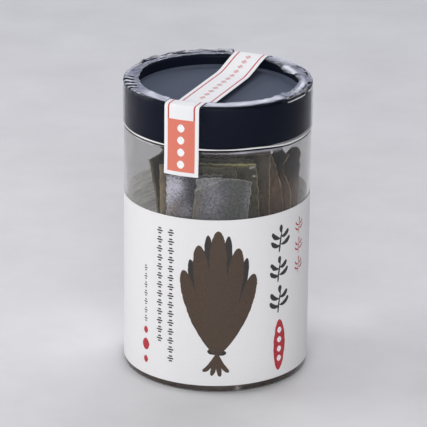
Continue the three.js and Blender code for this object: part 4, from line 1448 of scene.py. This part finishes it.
class KELPJAR_OT_film(bpy.types.Operator):
    """Builds the crinkled shrink film over the cap"""
    bl_idname = "kelpjar.film"
    bl_label = "Shrink film"

    def execute(self, context):
        settings = context.scene.kelp_jar
        finish = settings.finish
        size = in_mm(settings.film)
        half = in_mm(settings.strip).width / 2
        points, cells, painted, fields = film_surface(size, STRIP_TURN, half)
        # The third finish is the dark painted shade at the bottoms of folds.
        finishes = [material("crumpled_film", shrink_film, finish, 1.4, 0.15),
                    material("tight_film", shrink_film, finish, 1.08, 0.05),
                    material("painted_fold_shade", painted_fold_shade)]
        piece("crinkled_film", points, cells, finishes, "shrink_film", ["shrink_band"],
              sharp=180, fields=fields, painted=painted)
        points, cells, dark = hem_surface(size)
        # The hem's second finish is black plastic on the ring that paints the shadow under the
        # bead.
        finishes = [material("rolled_film_and_highlight", rolled_film_and_highlight),
                    material("painted_hem_shadow", black_polypropylene, finish.black, 0.3, 0.4)]
        piece("film_hem", points, cells, finishes, "shrink_film", sharp=60, painted=dark)
        return {"FINISHED"}


class KELPJAR_OT_label(bpy.types.Operator):
    """Builds the paper label and its generic print"""
    bl_idname = "kelpjar.label"
    bl_label = "Label"

    def execute(self, context):
        settings = context.scene.kelp_jar
        finish = settings.finish
        size = in_mm(settings.label)
        points, cells, back = label_surface(size)
        finishes = [material("label_paper", coated_paper, finish.paper),
                    material("gummed_back", gummed_back, finish.paper_back)]
        piece("paper_label", points, cells, finishes, "label_paper", ["label"], painted=back)
        inks = [("label_print_black", black_marks() + dark_sheaf(), finish.ink_black),
                ("label_print_brown", brown_sheaf(), finish.ink_brown),
                ("label_print_red", red_marks(), finish.ink_red),
                ("label_print_white", white_marks(), finish.paper)]
        for k, (name, strokes, tone) in enumerate(inks):
            above = types.SimpleNamespace(radius=size.radius + INK_THICKNESS * k)
            piece(name, *printed(on_label, above, strokes), [material(name, printing_ink, tone)],
                  "label_paper")
        return {"FINISHED"}


class KELPJAR_OT_strip(bpy.types.Operator):
    """Builds the paper seal strip and its small marks"""
    bl_idname = "kelpjar.strip"
    bl_label = "Seal strip"

    def execute(self, context):
        settings = context.scene.kelp_jar
        finish = settings.finish
        size = in_mm(settings.strip)
        paths = strip_paths(size)
        whole = strip_lengths(paths)[-1]
        points, cells, flat = strip_surface(size, paths)
        paper = material("printed_strip_paper", printed_strip_paper, finish, size.width, whole)
        piece("paper_strip", points, cells, [paper], "strip_paper", ["seal_strip"], flat=flat)
        for name, strokes, tone in (
                ("strip_print_white", strip_lozenges(whole), finish.strip_paper),
                ("strip_print_red", strip_figures(), finish.line_red)):
            piece(name, *printed(on_strip, size, strokes), [material(name, printing_ink, tone)],
                  "strip_paper")
        return {"FINISHED"}


class KELPJAR_OT_kelp(bpy.types.Operator):
    """Builds the kelp sheets and the broken bits on the jar's floor"""
    bl_idname = "kelpjar.kelp"
    bl_label = "Kelp sheets"

    def execute(self, context):
        settings = context.scene.kelp_jar
        size = in_mm(settings.kelp)
        finishes = {name: material(name, dried_kelp, tones)
                    for name, tones in KELP_FINISHES.items()}
        for number, sheet in enumerate(KELP_SHEETS):
            points, cells, fields, flat = kelp_surface(size, sheet, number)
            label = f"{number + 1:02d}"
            piece(f"kelp_sheet_{label}", points, cells, [finishes[sheet["kind"]]],
                  sheet["kind"], [f"kelp_{label}"], sharp=50, flat=flat, fields=fields)
        points, cells = kelp_flakes(size.floor - FLAKE_DROP)
        radius = np.hypot(points[:, 0], points[:, 1])
        around = np.arctan2(points[:, 0], -points[:, 1])
        # The crumbs are dark and free of bloom but for a fleck right of the front.
        fields = {"warm": 0 * radius + 0.25, "dark": 0 * radius + 1.0,
                  "bloom": 1.3 * bump(around, 0.25, 0.03) - LEAST_BLOOM}
        piece("kelp_flakes", points, cells, [finishes["kelp_brown"]], "kelp_brown", sharp=60,
              flat=np.stack([FLAKE_RADIUS * around, points[:, 2] + radius], -1), fields=fields)
        return {"FINISHED"}


FLOOR_REACH = 2500.0
FLOOR_STEPS = 9


class KELPJAR_OT_stage(bpy.types.Operator):
    """Builds the floor, the light and the camera"""
    bl_idname = "kelpjar.stage"
    bl_label = "Stage"

    def execute(self, context):
        settings = context.scene.kelp_jar
        steps = np.linspace(-FLOOR_REACH, FLOOR_REACH, FLOOR_STEPS)
        x, y = np.meshgrid(steps, steps)
        grid = np.stack([x, y, 0 * x], -1)
        mesh = bpy.data.meshes.new("floor")
        mesh.from_pydata(grid.reshape(-1, 3) * MM, [], grid_cells(*x.shape).tolist())
        mesh.materials.append(material("plaster_floor", plaster_floor, settings.finish.floor))
        floor = bpy.data.objects.new("floor", mesh)
        context.scene.collection.objects.link(floor)
        light_studio(context.scene)
        aim_camera(context.scene)
        return {"FINISHED"}


# ----------------------------------------------------------------- light and camera
# Each softbox: azimuth from the front towards +X and elevation in degrees, power in
# watts and colour.
SOFTBOXES = [
    ("key_left", -97, 22, 4.7, "ffffff"),
    ("front", 0, 22, 5.3, "ffffff"),
    ("back_right", 150, 50, 2.0, "ffffff"),
    ("top_back", 180, 78, 2.6, "ffffff"),
    ("back_low", 180, 22, 0.85, "d8dcfc"),
]
SOFTBOX_DISTANCE = 1000
SOFTBOX_SIDE = 600
SOFTBOX_AIM = (0, 0, 70)
SKY_TONE = "f8fafe"
SKY_STRENGTH = 0.14

CAMERA_FOCUS_PIXELS = 2965.334      # focal length in pixels of the rendered picture
CAMERA_DISTANCE = 1359.148
CAMERA_ELEVATION = 20.5017
CAMERA_ROLL = 0.5648
CAMERA_AIM = (-1.489, 0.0, 71.087)


def light_studio(scene):
    """The softboxes and an even pale sky."""
    for name, azimuth, elevation, power, code in SOFTBOXES:
        lamp = bpy.data.lights.new(name, "AREA")
        lamp.shape = "SQUARE"
        lamp.size = SOFTBOX_SIDE * MM
        lamp.energy = power
        lamp.color = linear(code)
        holder = bpy.data.objects.new(name, lamp)
        scene.collection.objects.link(holder)
        a, e = math.radians(azimuth), math.radians(elevation)
        back = np.array([math.cos(e) * math.sin(a), -math.cos(e) * math.cos(a), math.sin(e)])
        right = np.array([math.cos(a), math.sin(a), 0.0])
        turn = np.eye(4)
        turn[:3, 0], turn[:3, 1], turn[:3, 2] = right, np.cross(back, right), back
        turn[:3, 3] = (back * SOFTBOX_DISTANCE + SOFTBOX_AIM) * MM
        holder.matrix_world = Matrix(turn.tolist())
    world = bpy.data.worlds.new("sky")
    world.use_nodes = True
    world.node_tree.nodes.clear()
    sky = add(world.node_tree, "ShaderNodeBackground",
              {"Color": rgba(SKY_TONE), "Strength": SKY_STRENGTH})
    add(world.node_tree, "ShaderNodeOutputWorld", {"Surface": sky.outputs[0]})
    scene.world = world
    scene.view_settings.view_transform = "Standard"


def aim_camera(scene):
    """A long lens that looks down at the jar from the front."""
    lens = bpy.data.cameras.new("camera")
    lens.sensor_width = SENSOR_WIDTH
    lens.lens = CAMERA_FOCUS_PIXELS * SENSOR_WIDTH / IMAGE_WIDTH
    lens.clip_start, lens.clip_end = 0.05, 20
    holder = bpy.data.objects.new("camera", lens)
    scene.collection.objects.link(holder)
    tilt, roll = math.radians(CAMERA_ELEVATION), math.radians(CAMERA_ROLL)
    forward = np.array([0, math.cos(tilt), -math.sin(tilt)])
    right = np.array([1.0, 0, 0])
    up = np.cross(right, forward)
    turn = np.eye(4)
    turn[:3, 0] = math.cos(roll) * right + math.sin(roll) * up
    turn[:3, 1] = math.cos(roll) * up - math.sin(roll) * right
    turn[:3, 2] = -forward
    turn[:3, 3] = (np.array(CAMERA_AIM) - CAMERA_DISTANCE * forward) * MM
    holder.matrix_world = Matrix(turn.tolist())
    scene.camera = holder


# ----------------------------------------------------------------------------- panel
PIECES = ("jar", "cap", "film", "label", "strip", "kelp", "stage")


class KELPJAR_PT_panel(bpy.types.Panel):
    """Lists the pieces of the jar"""
    bl_idname = "KELPJAR_PT_panel"
    bl_label = "Kelp Jar"
    bl_space_type = "VIEW_3D"
    bl_region_type = "UI"
    bl_category = "Kelp Jar"

    def draw(self, context):
        settings = context.scene.kelp_jar
        for name in PIECES:
            box = self.layout.box()
            box.operator(f"kelpjar.{name}")
            group = getattr(settings, name, None)
            for key in type(group).__annotations__ if group else ():
                box.prop(group, key)
        box = self.layout.box()
        for key in KELPJAR_PG_finish.__annotations__:
            box.prop(settings.finish, key)


CLASSES = (
    KELPJAR_PG_jar, KELPJAR_PG_cap, KELPJAR_PG_film, KELPJAR_PG_label, KELPJAR_PG_strip,
    KELPJAR_PG_kelp, KELPJAR_PG_finish, KELPJAR_PG_settings,
    KELPJAR_OT_jar, KELPJAR_OT_cap, KELPJAR_OT_film, KELPJAR_OT_label, KELPJAR_OT_strip,
    KELPJAR_OT_kelp, KELPJAR_OT_stage, KELPJAR_PT_panel,
)


def register():
    for cls in CLASSES:
        bpy.utils.register_class(cls)
    bpy.types.Scene.kelp_jar = bpy.props.PointerProperty(type=KELPJAR_PG_settings)


def unregister():
    del bpy.types.Scene.kelp_jar
    for cls in reversed(CLASSES):
        bpy.utils.unregister_class(cls)


def main():
    """Registers the classes and builds every piece."""
    register()
    for name in PIECES:
        getattr(bpy.ops.kelpjar, name)()


if __name__ == "__main__":
    main()
